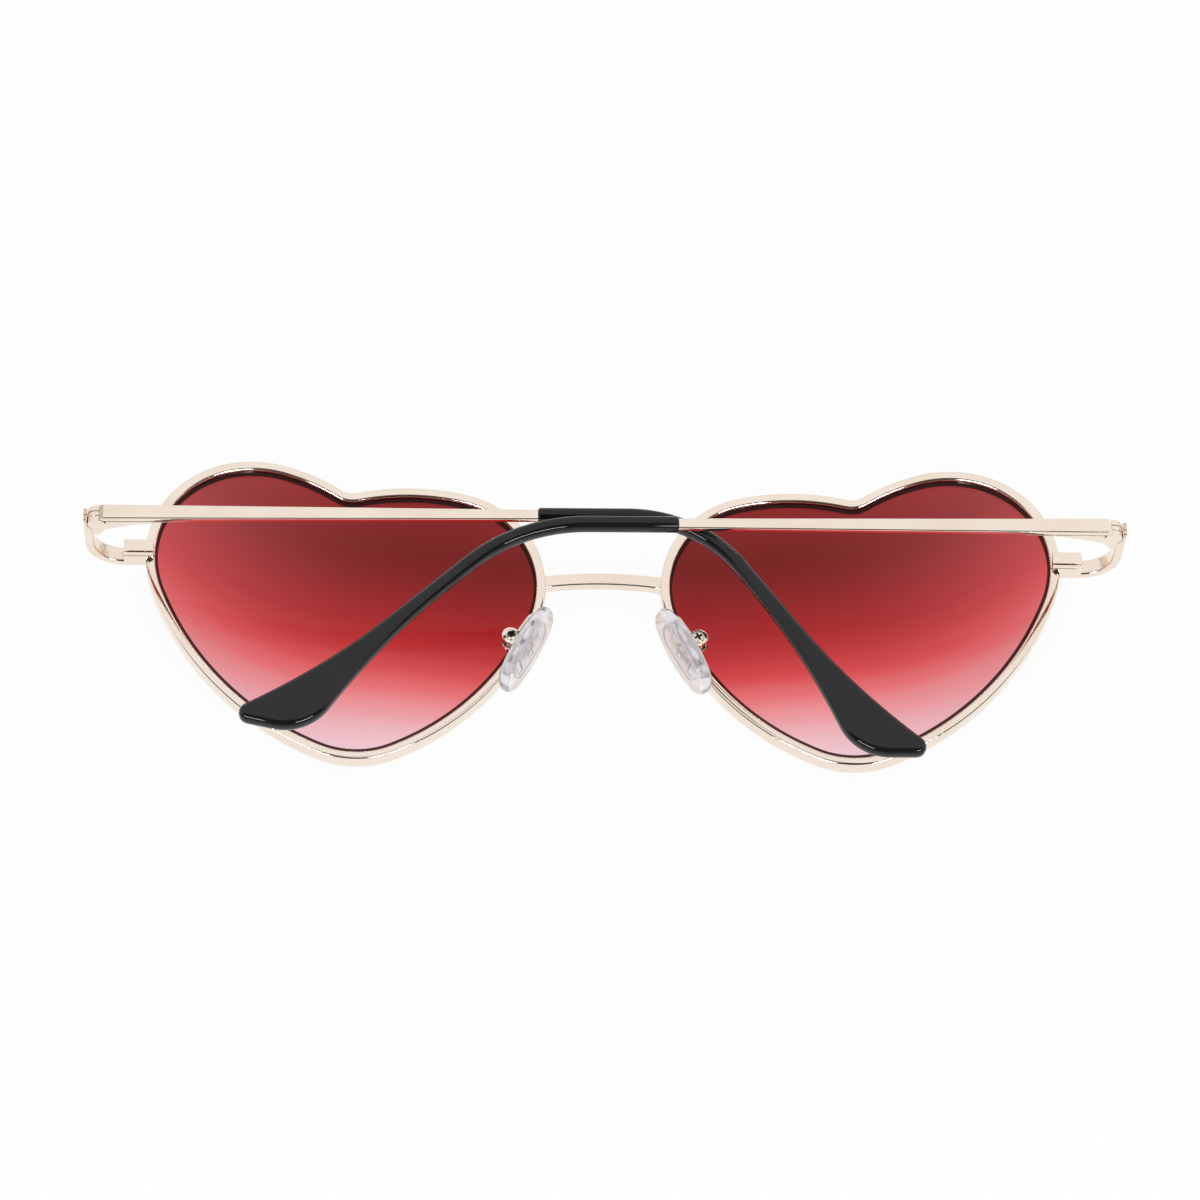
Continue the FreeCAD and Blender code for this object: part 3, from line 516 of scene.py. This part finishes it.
def makeLens(arcs):
    loops = [ringPoints(arcs, grow) for grow in (lens["seat"], lens["shade"][0])]
    # the painted shade line is wider above and below
    for grow in lens["shade"][1:]:  # the shaded line is wider above and below
        line = []
        for p, q in zip(ringPoints(arcs, grow), ringPoints(arcs, grow - 1)):
            out = Vector(p) - Vector(q)
            widen = lens["brow"] if out.y > 0 else -lens["foot"]
            line.append(tuple(Vector(p) - out * (out.y * widen)))
        loops.append(line)
    inner, middle = loops[-1], Vector((lensX, lens["middleY"]))
    for share in lens["shares"]:
        loops.append([tuple(middle.lerp(Vector(p), share)) for p in inner])
    chains = [[onDome(p) for p in loop] for loop in reversed(loops)]
    chains += [[onDome(p, -lens["thickness"]) for p in loop] for loop in loops]
    piece = loftChains("lensRight", chains)
    # painted shade on the back face beside the rim, where the groove shows dark
    shaded = range(len(loops), len(loops) + len(lens["shade"]))
    stations = [item.value for item in piece.data.attributes["station"].data]
    shade = piece.data.attributes.new("paintedGrooveShade", "FLOAT", "POINT")
    for item, station in zip(shade.data, stations):
        item.value = 1.0 if station in shaded else 0.0
    return finishLoft(piece)


def makeRim(arcs):
    # the wire starts above the slit, goes once round the heart and ends below the slit
    centre, size, a, sweep, turn, count = arcs[2]  # the temporal lobe
    top, bottom = (math.radians(d) for d in rim["slit"])
    lastCount = max(4, round((bottom - a) * size / heart["step"]))
    order = [(centre, size, top, a + sweep - top, turn, count), *arcs[3:], *arcs[:2],
             (centre, size, a, bottom - a, turn, lastCount)]
    section = roundedSection(rim["outer"] - rim["inner"], rim["front"] - rim["back"], rim["edge"], 5)
    chains = []
    for across, up in section:
        grow = across + (rim["outer"] + rim["inner"]) / 2
        lift = up + (rim["front"] + rim["back"]) / 2
        radius = size + turn * grow
        line = ringPoints(order, grow)
        line.append((centre.x + radius * math.cos(bottom), centre.y + radius * math.sin(bottom)))
        chains.append([onDome(p, lift) for p in line])
    return finishLoft(loftChains("rimRight", chains + chains[:1], ring=False))


arcs = heartArcs()
lensRight = makeLens(arcs)
rimRight = makeRim(arcs)
dressPair(lensRight, "lens", lensTint, "lens")
dressPair(rimRight, "rim", plating, "frame_metal")
print("lenses and rims made")


# Bridge

bridge = {"top": 6.6, "rise": 0.7, "half": 9.0, "end": 8.3, "high": 1.85, "deep": 1.6, "edge": 0.22,
          "level": 2.65, "steps": 28, "solder": 0.16, "solderRun": 0.9}


def makeBridge():
    radius = (bridge["half"] ** 2 + bridge["rise"] ** 2) / (2 * bridge["rise"])
    section = roundedSection(bridge["high"], bridge["deep"], bridge["edge"], 5)
    chains = []
    for k in range(bridge["steps"] + 1):
        x = bridge["end"] * (2 * k / bridge["steps"] - 1)
        angle = math.asin(x / radius)
        flare = max(0.0, (abs(x) - (bridge["end"] - bridge["solderRun"])) / bridge["solderRun"]) ** 2
        grow = 1 + bridge["solder"] * flare
        chains.append([((radius + out * grow) * math.sin(angle),
                        bridge["top"] - radius + (radius + out * grow) * math.cos(angle),
                        bridge["level"] + up * grow) for out, up in section])
    return finishLoft(loftChains("bridgeBar", chains))


dress(makeBridge(), plating, "front", "frame_metal", "bridge")
print("bridge made")


# End pieces, closing blocks, front hinges and their screws

strip = {"start": 63.8, "bendX": 66.7, "bendRadius": 5.4, "outer": 72.1, "front": 5.988, "thick": 1.25,
         "level": 7.3, "high": 2.3, "edge": 0.3, "steps": 16}
hinge = {
    "x": 70.3, "y": 7.3, "z": 16.9, "radius": 1.25, "room": 1.35, "gap": 0.07, "edge": 0.1, "hole": 0.55,
    "leaf": 2.6, "foot": (1.0, 1.0),  # the front leaf's length, and the straight and slanted parts of its end
    "butt": 0.05, "mitre": (0.9, -0.45),  # gap and heights of the slanted faces that meet when open
    "bite": 0.05,  # how far a leaf goes into the strip that it is soldered to
    "barrelEdge": 0.07, "arm": 0.2, "sunk": 0.02,  # the temple's knuckle and its arm into the leaf
}
closing = {"x": (62.82, 66.94), "upper": (6.75, 8.65), "lower": (5.95, 6.6), "z": (7.24, 9.035),
           "edge": 0.09, "screw": (65.45, 8.38, 8.138)}
screw = {
    "closing": {"shank": 0.5, "length": 2.3, "head": 0.8, "high": 0.4, "recess": "slot"},
    "hinge": {"shank": 0.5, "length": 2.28, "head": 0.85, "high": 0.4, "recess": "slot"},
    "pad": {"shank": 0.5, "length": 2.7, "head": 0.85, "high": 0.35, "recess": "cross"},
    "slot": (0.15, 1.2), "cross": (0.2, 0.68),  # half width and half length, as shares of the head's radius
    "crown": 0.45, "root": 0.3, "deep": 0.5,  # shares of the head's height
}
knuckle = (strip["high"] - 2 * hinge["gap"]) / 3


def mitreRise(inset):
    # height of the slanted meeting face above the hinge axis, by the distance from the outer face
    rise, drop = hinge["mitre"]
    return rise + (rise - drop) * inset / strip["thick"]


def makeEndPiece():
    section = roundedSection(strip["thick"], strip["high"], strip["edge"])
    middle = strip["thick"] / 2
    turnX, turnZ = strip["bendX"], strip["front"] + strip["bendRadius"]
    run = strip["bendRadius"] - middle
    stations = [(strip["start"], strip["front"] + middle, 0.0)]
    for k in range(strip["steps"] + 1):
        angle = math.pi / 2 * k / strip["steps"]
        stations.append((turnX + run * math.sin(angle), turnZ - run * math.cos(angle), angle))
    chains = [[(x + out * math.sin(angle), strip["level"] + up, z - out * math.cos(angle))
               for out, up in section] for x, z, angle in stations]
    butt = hinge["z"] - hinge["butt"]
    chains.append([(strip["outer"] - middle + out, strip["level"] + up, butt + mitreRise(out - middle))
                   for out, up in section])
    piece = finishLoft(loftChains("endPieceRight", chains))
    x, y, z = hinge["x"], hinge["y"], hinge["z"]
    room = addRod("room", hinge["room"], (x, y - past, z), (x, y + past, z), "Y", 64)
    return tidyMesh(combine(piece, room))


def makeClosingBlock(name, half):
    low, high = zip(closing["x"], closing[half], closing["z"])
    return tidyMesh(softenEdges(addBlock(name, low, high), closing["edge"], 4))


def makeScrew(name, kind):
    # stands on its shank along Z, with the seat of the head at the origin
    head, high = screw[kind]["head"], screw[kind]["high"]
    body = addRod(name, head, (0, 0, 0), (0, 0, high))
    softenEdges(body, high * screw["crown"], 4)
    pin = addRod("shank", screw[kind]["shank"], (0, 0, -screw[kind]["length"]), (0, 0, high * screw["root"]),
                 sides=32)
    combine(body, pin, "UNION")
    recess = screw[kind]["recess"]
    wide, long = (head * share for share in screw[recess])
    floor = high - high * screw["deep"]
    combine(body, addBlock("slot", (-long, -wide, floor), (long, wide, high * 2)))
    if recess == "cross":
        combine(body, addBlock("slot", (-wide, -long, floor), (wide, long, high * 2)))
    tidyMesh(body)
    # painted shade: the floor and walls of the recess are marked to be darkened
    shade = body.data.attributes.new("recessShade", "FLOAT", "FACE")
    for item, face in zip(shade.data, body.data.polygons):  # the floor and walls of the recess
        spot = face.center / mm
        inside = max(abs(spot.x), abs(spot.y)) < long + 0.01 and spot.z > floor - 0.02
        walled = abs(face.normal.z) < 0.3 and math.hypot(spot.x, spot.y) < head * 0.85
        item.value = 1.0 if inside and (walled or abs(spot.z - floor) < 0.02) else 0.0
    return body


def makeFrontHinge():
    x, y, z, r = (hinge[key] for key in ("x", "y", "z", "radius"))
    half = strip["high"] / 2
    body = addRod("frontHingeRight", r, (x, y - half, z), (x, y + half, z), "Y", 64)
    straight, slant = hinge["foot"]
    inner, foot = strip["outer"] - strip["thick"] + hinge["bite"], z - hinge["leaf"]
    outline = [(x - r, z), (x - r, z - straight), (x - r + slant, foot), (inner, foot), (inner, z)]
    combine(body, addPrism("leaf", outline, y - half, y + half), "UNION")
    low = (x - past, y - half + knuckle, z - hinge["room"])
    combine(body, addBlock("slot", low, (x + past, y + half - knuckle, z + past)))
    return tidyMesh(softenEdges(body, hinge["edge"]))


alongY = Matrix.Rotation(-math.pi / 2, 4, "X")  # turns a screw's axis from Z to Y
hingeTop = shift(hinge["x"], hinge["y"] + strip["high"] / 2, hinge["z"])
fixedPieces = (
    (makeEndPiece(), "end_piece", plating, "frame_metal"),
    (makeClosingBlock("closingBlockUpperRight", "upper"), "closing_block_upper", plating, "frame_metal"),
    (makeClosingBlock("closingBlockLowerRight", "lower"), "closing_block_lower", plating, "frame_metal"),
    (placePiece(makeScrew("closingScrewRight", "closing"), shift(*closing["screw"]) @ alongY),
     "closing_screw", screwSteel, "screw"),
    (makeFrontHinge(), "front_hinge", plating, "frame_metal"),
    (placePiece(makeScrew("hingeScrewRight", "hinge"), hingeTop @ alongY),
     "hinge_screw", screwSteel, "screw"),
)
for piece, node, material, slotName in fixedPieces:
    dressPair(piece, node, material, slotName)
print("end pieces and hinges made")


# Temples: drawn from the hinge axis with X along the folded temple, then set at the hinge

temple = {
    "butt": -0.5, "end": 62.0, "high": 2.3, "endHigh": 1.55, "taperEnd": 60.7, "inner": 0.8, "outer": 1.8,
    "edge": 0.2, "steps": 40, "mitreCut": (-3.0, -0.2, 2.8),  # from X, from Z, to Z
    "leafEnd": 12.5, "leafCurve": 31.9, "leafFull": 12.6, "leafSteps": 24,
    "leafEdge": (0.12, 0.4),  # rounding, and the most of it as a share of the leaf's thickness
}
tip = {
    "start": 60.7, "bendStart": 73.2, "bendLength": 17.9, "high": 2.1, "thick": 2.4, "edge": 1.02,
    "paddle": 7.9, "upperFlare": 23.5, "lowerFlare": 25.5, "upperCorner": 1.4, "lowerCorner": 7.3,
    "endAngle": 55.1, "middle": 1.3, "step": 0.6,
    "spare": 2.5, "startEdge": 0.42,  # the sleeve is made longer at its start, cut off and softened there
}
fold = {"left": {"bend": 54.9, "flank": 12.3, "droop": -0.48, "stack": 0.0},
        "right": {"bend": 41.8, "flank": 14.4, "droop": 1.86, "stack": 2.2}}


def makeTempleStrip(name):
    thick, middle = temple["outer"] - temple["inner"], (temple["inner"] + temple["outer"]) / 2
    chains = []
    for k in range(temple["steps"] + 1):
        u = temple["butt"] + (temple["end"] - temple["butt"]) * k / temple["steps"]
        share = min(1.0, (u - temple["butt"]) / (temple["taperEnd"] - temple["butt"]))
        high = temple["high"] + (temple["endHigh"] - temple["high"]) * share
        chains.append([(u, v, middle + w) for v, w in roundedSection(high, thick, temple["edge"])])
    piece = finishLoft(loftChains(name, chains))
    combine(piece, addRod("room", hinge["room"], (0, -past, 0), (0, past, 0), "Y", 64))
    start, low, high = temple["mitreCut"]
    meets = [(hinge["butt"] + mitreRise(w - temple["outer"]), w) for w in (low, high)]
    return tidyMesh(combine(piece, addPrism("mitre", [(start, low), *meets, (start, high)], -past, past)))


def makeTempleHinge(name):
    top, seam = temple["inner"] + hinge["bite"], temple["inner"] - hinge["sunk"]
    edge, most = temple["leafEdge"]
    chains = []
    for k in range(temple["leafSteps"] + 1):
        u = hinge["room"] + (temple["leafEnd"] - hinge["room"]) * k / temple["leafSteps"]
        rise = math.sqrt(temple["leafCurve"] ** 2 - (temple["leafFull"] - u) ** 2)
        low = min(temple["inner"] - temple["leafCurve"] + rise, seam)
        high = temple["high"] + (temple["endHigh"] - temple["high"]) * u / temple["taperEnd"]
        section = roundedSection(high, top - low, min(edge, (top - low) * most), 3)
        chains.append([(u, v, (top + low) / 2 + w) for v, w in section])
    leaf = finishLoft(loftChains(name, chains))
    half = knuckle / 2
    barrel = addRod("barrel", hinge["radius"], (0, -half, 0), (0, half, 0), "Y", 64)
    softenEdges(barrel, hinge["barrelEdge"])
    arm = addBlock("arm", (0, -half, -hinge["radius"]), (hinge["room"] + hinge["arm"], half, seam))
    combine(leaf, combine(barrel, arm, "UNION"), "UNION")
    combine(leaf, addRod("hole", hinge["hole"], (0, -past, 0), (0, past, 0), "Y", 32))
    return tidyMesh(leaf)


class Pen:
    # walks along an outline of straight runs and bends
    def __init__(self, x, y):
        self.spot, self.heading, self.points = Vector((x, y)), 0.0, [Vector((x, y))]

    def run(self, length):
        self.spot = self.spot + Vector((math.cos(self.heading), math.sin(self.heading))) * length
        self.points.append(self.spot)

    def bend(self, radius, degrees):
        turn = math.copysign(1, degrees)
        centre = self.spot + Vector((-math.sin(self.heading), math.cos(self.heading))) * (turn * radius)
        steps = max(6, round(abs(math.radians(degrees)) * radius / tip["step"]))
        first = self.heading
        for k in range(1, steps + 1):
            self.heading = first + math.radians(degrees) * k / steps
            self.spot = centre - Vector((-math.sin(self.heading), math.cos(self.heading))) * (turn * radius)
            self.points.append(self.spot)


def tipOutline(bend, flank):
    half, rise, end = tip["high"] / 2, (tip["paddle"] - tip["high"]) / 2, tip["endAngle"]
    flare = {}
    for edge in ("upper", "lower"):
        reach = tip[f"{edge}Flare"]
        radius = (reach ** 2 + rise ** 2) / (2 * rise)
        flare[edge] = (radius, math.degrees(math.asin(reach / radius)))
    bendRadius = tip["bendLength"] / math.radians(bend)

    def edgeStart(offset):
        corner, side = abs(offset), math.copysign(1, offset)  # a round start before the sleeve's own
        pen = Pen(tip["start"] - tip["spare"], 0.0)
        pen.heading = side * math.pi / 2
        pen.bend(corner, -side * 90)
        pen.run(tip["bendStart"] - tip["start"] + tip["spare"] - corner)
        pen.bend(bendRadius + offset, -bend)
        return pen

    def lowerEdge(run):
        pen = edgeStart(-half)
        pen.run(run)
        pen.bend(flare["lower"][0], -flare["lower"][1])
        pen.bend(tip["lowerCorner"], end + flare["lower"][1])
        return pen

    upper = edgeStart(half)
    upper.run(flank)
    upper.bend(flare["upper"][0], flare["upper"][1])
    upper.bend(tip["upperCorner"], end - flare["upper"][1] - 180)
    along = -Vector((math.cos(upper.heading), math.sin(upper.heading)))
    gap = upper.spot - lowerEdge(0).spot
    lower = lowerEdge((gap.x * along.y - gap.y * along.x) / math.sin(math.radians(end)))
    return upper.points + lower.points[:0:-1]


def makeTip(name, bend, flank):
    piece = addOutline(name, [tipOutline(bend, flank)], tip["thick"], tip["edge"], 5)
    tidyMesh(placePiece(piece, shift(0, 0, tip["middle"])))
    side = tip["paddle"]
    combine(piece, addBlock("spare", (tip["start"] - side, -side, -side), (tip["start"], side, side)))
    return tidyMesh(softenEdges(piece, tip["startEdge"], 4, clamp=False))


for side, turn in fold.items():
    name = side.title()
    seat = (shift(-hinge["x"], hinge["y"], hinge["z"]) @ Matrix.Rotation(math.radians(-turn["stack"]), 4, "Y")
            @ Matrix.Rotation(math.radians(-turn["droop"]), 4, "Z"))
    for piece, node, material, slotName in (
            (makeTempleStrip(f"temple{name}"), "temple", plating, "frame_metal"),
            (makeTempleHinge(f"templeHinge{name}"), "temple_hinge", plating, "frame_metal"),
            (makeTip(f"templeTip{name}", turn["bend"], turn["flank"]), "temple_tip", tipBlack, "tip")):
        placePiece(piece, seat)
        if side == "right":
            flip(piece)
        dress(piece, material, f"temple_arm_{side}", slotName, f"{node}_{side}")
print("temples made")


# Nose pads with their arms: drawn about the pad's screw, X away from the nose, Y up the pad

pad = {
    "x": 12.923, "y": -5.4345, "z": 6.8, "angle": 27.7, "standoff": -2.45, "splay": 12.0,
    "thick": 2.0, "shift": -0.3, "length": 14.0, "top": 2.5, "bottom": 2.9, "sides": 15.0, "step": 0.4,
    "crown": 0.1575, "backCrown": 0.4,  # rise of the face at the nose, and the other face's share of it
    "inset": 0.75, "edgeSteps": 8, "shares": (0.06, 0.3, 0.55, 0.75, 0.9),
}
insert = {"length": 9.2, "wide": 4.2, "thick": 0.7, "edge": 0.1, "steps": 24, "slot": (0.9, 2.4),
          "stem": 0.85, "stemHigh": 1.2, "stemEdge": 0.08}
padBox = {"front": -0.85, "back": 1.4, "wide": 2.4, "cheek": 0.7, "corner": 1.15, "cornerSteps": 7,
          "play": 0.06, "edge": 0.1}
padArm = {"radius": 0.5, "angle": 32.0, "reach": 5.75, "bend": 1.2, "foot": 3.33, "level": 5.79,
          "bite": 0.1, "solder": 1.35, "steps": 10, "sides": 20}
splayed = shift(pad["standoff"], 0, 0) @ Matrix.Rotation(math.radians(pad["splay"]), 4, "Y")
boxRoom = insert["stemHigh"] / 2 + padBox["play"]
boxTop = boxRoom + padBox["cheek"]


def makeNosePad():
    lobes = [(pad["length"] / 2 - pad["top"] + pad["shift"], 0.0, pad["top"], 1),
             (pad["bottom"] - pad["length"] / 2 + pad["shift"], 0.0, pad["bottom"], 1)]
    ring = arcRing(lobes, (pad["sides"], pad["sides"]), pad["step"])
    edge, inset = pad["thick"] / 2 - pad["crown"], pad["thick"] / 2 * pad["inset"]
    loop, middle = ringPoints(ring, -inset), Vector((pad["shift"], 0.0))
    faces = []
    for face, bulge in ((1, pad["backCrown"]), (-1, 1.0)):
        lines = []
        for share in pad["shares"]:
            x = face * (edge + pad["crown"] * bulge * (1 - share ** 2))
            lines.append([(x, *middle.lerp(Vector(p), share)) for p in loop])
        faces.append(lines)
    rounded = []
    for k in range(pad["edgeSteps"] + 1):  # half round edge, flattened towards the faces
        angle = math.pi / 2 - math.pi * k / pad["edgeSteps"]
        line = ringPoints(ring, -inset * (1 - math.cos(angle)))
        rounded.append([(edge * math.sin(angle), *p) for p in line])
    piece = loftChains("nosePadRight", faces[0] + rounded + faces[1][::-1])
    return placePiece(finishLoft(piece, 60), splayed)


def makeInsert():
    half, run = insert["wide"] / 2, (insert["length"] - insert["wide"]) / 2
    angles = [math.pi * (k + 0.5) / insert["steps"] for k in range(2 * insert["steps"])]
    loops = [[(math.copysign(run, math.cos(a)) + half * math.cos(a) + pad["shift"], half * math.sin(a))
              for a in angles]]
    high, wide = insert["slot"]
    for step in (-1, 0, 1):
        x = step * insert["length"] / 3 + pad["shift"]
        loops.append([(x + a * high / 2, b * wide / 2) for a, b in ((-1, -1), (-1, 1), (1, 1), (1, -1))])
    piece = addOutline("nosePadInsertRight", loops, insert["thick"], insert["edge"], 2)
    upright = Matrix(((0, 0, 1, 0), (1, 0, 0, 0), (0, 1, 0, 0), (0, 0, 0, 1)))  # X to Y, Y to Z
    tidyMesh(placePiece(piece, splayed @ upright))
    stem, high = insert["stem"], insert["stemHigh"] / 2
    eye = addRod("eye", stem, (0, 0, -high), (0, 0, high))
    combine(eye, addBlock("stem", (pad["standoff"], -stem, -high), (0, stem, high)), "UNION")
    softenEdges(eye, insert["stemEdge"], 2)
    return tidyMesh(combine(piece, eye, "UNION"))


def makePadBox():
    half = padBox["wide"] / 2
    body = addBlock("padBoxRight", (padBox["front"], -half, -boxTop), (padBox["back"], half, boxTop))
    pick(body)
    bpy.ops.object.mode_set(mode="EDIT")
    bpy.ops.mesh.select_all(action="DESELECT")
    cage = bmesh.from_edit_mesh(body.data)
    for edge in cage.edges:  # the two upright edges at the back
        a, b = (vert.co for vert in edge.verts)
        if abs(a.z - b.z) > boxTop * mm and a.x > 0:
            edge.select_set(True)
    bmesh.update_edit_mesh(body.data)
    bpy.ops.mesh.bevel(offset=padBox["corner"] * mm, segments=padBox["cornerSteps"], affect="EDGES")
    bpy.ops.object.mode_set(mode="OBJECT")
    combine(body, addBlock("slot", (padBox["front"] - past, -past, -boxRoom),
                           (insert["stem"] + padBox["play"], past, boxRoom)))
    return tidyMesh(softenEdges(body, padBox["edge"]))


def makePadArm():
    bend = padArm["bend"]
    y, z = padArm["reach"] - bend, padArm["level"] - bend
    stations = [(padArm["reach"], padArm["foot"], 0.0)]
    for k in range(padArm["steps"] + 1):
        angle = math.pi / 2 * k / padArm["steps"]
        stations.append((y + bend * math.cos(angle), z + bend * math.sin(angle), angle))
    stations.append((padBox["wide"] / 2 - padArm["bite"], padArm["level"], math.pi / 2))
    turns = [2 * math.pi * k / padArm["sides"] for k in range(padArm["sides"])]
    chains = []
    for number, (y, z, angle) in enumerate(stations):
        r = padArm["radius"] * (padArm["solder"] if number == 0 else 1.0)  # a little solder at the foot
        chains.append([(r * math.cos(t), y + r * math.sin(t) * math.cos(angle),
                        z + r * math.sin(t) * math.sin(angle)) for t in turns])
    return finishLoft(loftChains("padArmRight", chains))


atPad = shift(pad["x"], pad["y"], pad["z"]) @ Matrix.Rotation(math.radians(pad["angle"]), 4, "Z")
atArm = shift(pad["x"], pad["y"], 0) @ Matrix.Rotation(math.radians(padArm["angle"]), 4, "Z")
padPieces = (
    (makeNosePad(), atPad, "nose_pad", padSilicone, "pad", "pad"),
    (makeInsert(), atPad, "nose_pad_insert", insertClear, "pad_insert", "pad"),
    (makePadBox(), atPad, "pad_box", plating, "frame_metal", None),
    (makeScrew("padScrewRight", "pad"), atPad @ shift(0, 0, boxTop), "pad_screw", screwSteel, "screw", None),
    (makePadArm(), atArm, "pad_arm", plating, "frame_metal", None),
)
for piece, place, node, material, slotName, body in padPieces:
    dressPair(placePiece(piece, place), node, material, slotName, body)
print("nose pads made")


# Floor, light and camera

stage = {"floorSize": 6.0,  # metres
         "floorDrop": 0.02, "floorWhite": (0.93, 0.93, 0.93), "floorLift": 0.94}
studio = {
    # place in metres, size in metres and power of each lamp
    "lamps": (((-0.52, -0.72, 0.46), (0.5, 0.1), 3.6), ((0.52, -0.72, 0.46), (0.5, 0.1), 3.6)),
    # share of the way from straight down to straight up, and how bright reflections find it
    "sky": ((0.0, 0.8), (0.47, 0.5), (0.53, 0.55), (0.6, 0.95), (1.0, 1.0)),
    # the unlit side of the room in front, drawn out sideways: direction, squeeze of X,
    # cosines where it starts and is full, brightness
    "dim": ((0.0, -0.87, 0.5), 0.35, (0.62, 0.74), 0.03),
}
photoView = {"elevation": 60.0, "azimuth": -4.457, "roll": 4.624, "distance": 700.0, "pixelsPerMm": 7.121,
             "centre": (602.43, 631.67), "frame": 1200.0, "sensor": 36.0,
             "clip": (0.01, 50.0)}  # clip in metres


def makeFloor():
    clearSelection()
    level = cadBox[0].z - stage["floorDrop"] * mm
    bpy.ops.mesh.primitive_plane_add(size=stage["floorSize"], location=(0, 0, level))
    floor = bpy.context.object
    floor.name = "floor"
    material = bpy.data.materials.new("paleFloor")
    material.use_nodes = True
    tree = material.node_tree
    tree.nodes.clear()
    matt = tree.nodes.new("ShaderNodeBsdfDiffuse")
    matt.inputs["Color"].default_value = (*stage["floorWhite"], 1)
    glow = tree.nodes.new("ShaderNodeEmission")
    ray = tree.nodes.new("ShaderNodeLightPath").outputs
    mirrored = calc(tree, "ADD", ray["Is Glossy Ray"], ray["Is Transmission Ray"])["Value"]
    mirrored.node.use_clamp = True
    lift = calc(tree, "MULTIPLY_ADD", ray["Is Camera Ray"], stage["floorLift"], mirrored)["Value"]
    blend = tree.nodes.new("ShaderNodeMixShader")
    tree.links.new(lift, blend.inputs["Fac"])
    tree.links.new(matt.outputs["BSDF"], blend.inputs[1])
    tree.links.new(glow.outputs["Emission"], blend.inputs[2])
    output = tree.nodes.new("ShaderNodeOutputMaterial")
    tree.links.new(blend.outputs["Shader"], output.inputs["Surface"])
    floor.data.materials.append(material)


def makeLight():
    world = bpy.data.worlds.new("studio")
    scene.world = world
    world.use_nodes = True
    tree = world.node_tree
    tree.nodes.clear()
    place = tree.nodes.new("ShaderNodeTexCoord").outputs["Generated"]
    split = tree.nodes.new("ShaderNodeSeparateXYZ")
    tree.links.new(place, split.inputs["Vector"])
    stops = [(height, (bright,) * 3) for height, bright in studio["sky"]]
    sky = addRamp(tree, spread(tree, split.outputs["Z"], start=-1.0, end=1.0), stops)
    way, squeeze, (start, full), bright = studio["dim"]
    vector = "ShaderNodeVectorMath"
    narrowed = calc(tree, "MULTIPLY", place, (squeeze, 1.0, 1.0), kind=vector)["Vector"]
    evened = calc(tree, "NORMALIZE", narrowed, kind=vector)["Vector"]
    facing = calc(tree, "DOT_PRODUCT", evened, Vector(way).normalized(), kind=vector)["Value"]
    dim = spread(tree, facing, start=start, end=full)
    dim.node.interpolation_type = "SMOOTHSTEP"
    room = mixColours(tree, dim, sky.outputs["Color"], (bright,) * 3)
    ray = tree.nodes.new("ShaderNodeLightPath")
    backdrop = tree.nodes.new("ShaderNodeBackground")
    tree.links.new(mixColours(tree, ray.outputs["Is Camera Ray"], room, (1, 1, 1)), backdrop.inputs["Color"])
    output = tree.nodes.new("ShaderNodeOutputWorld")
    tree.links.new(backdrop.outputs["Background"], output.inputs["Surface"])
    for number, (spot, size, power) in enumerate(studio["lamps"]):
        lamp = bpy.data.lights.new(f"softbox{number}", "AREA")
        lamp.shape, lamp.size, lamp.size_y, lamp.energy = "RECTANGLE", *size, power
        holder = bpy.data.objects.new(lamp.name, lamp)
        holder.location = spot
        holder.rotation_euler = (-Vector(spot)).to_track_quat("-Z", "Y").to_euler()
        scene.collection.objects.link(holder)


def makeCamera():
    tilt, turn, roll = (math.radians(photoView[key]) for key in ("elevation", "azimuth", "roll"))
    back = Vector((math.sin(turn) * math.cos(tilt), -math.cos(turn) * math.cos(tilt), math.sin(tilt)))
    level = Vector((math.cos(turn), math.sin(turn), 0))
    rise = back.cross(level)
    right = level * math.cos(roll) + rise * math.sin(roll)
    up = rise * math.cos(roll) - level * math.sin(roll)
    size, (x, y) = photoView["frame"], photoView["centre"]
    lensData = bpy.data.cameras.new("photoCamera")
    lensData.sensor_width = photoView["sensor"]
    lensData.lens = photoView["pixelsPerMm"] * photoView["distance"] / size * photoView["sensor"]
    lensData.shift_x, lensData.shift_y = (size / 2 - x) / size, (y - size / 2) / size
    lensData.clip_start, lensData.clip_end = photoView["clip"]
    camera = bpy.data.objects.new("photoCamera", lensData)
    facing = Matrix((right, up, back)).transposed().to_4x4()
    camera.matrix_world = Matrix.Translation(back * photoView["distance"] * mm) @ facing
    scene.collection.objects.link(camera)
    scene.camera = camera


makeFloor()
makeLight()
makeCamera()
scene.view_settings.view_transform = "Standard"
print("stage, light and camera set")
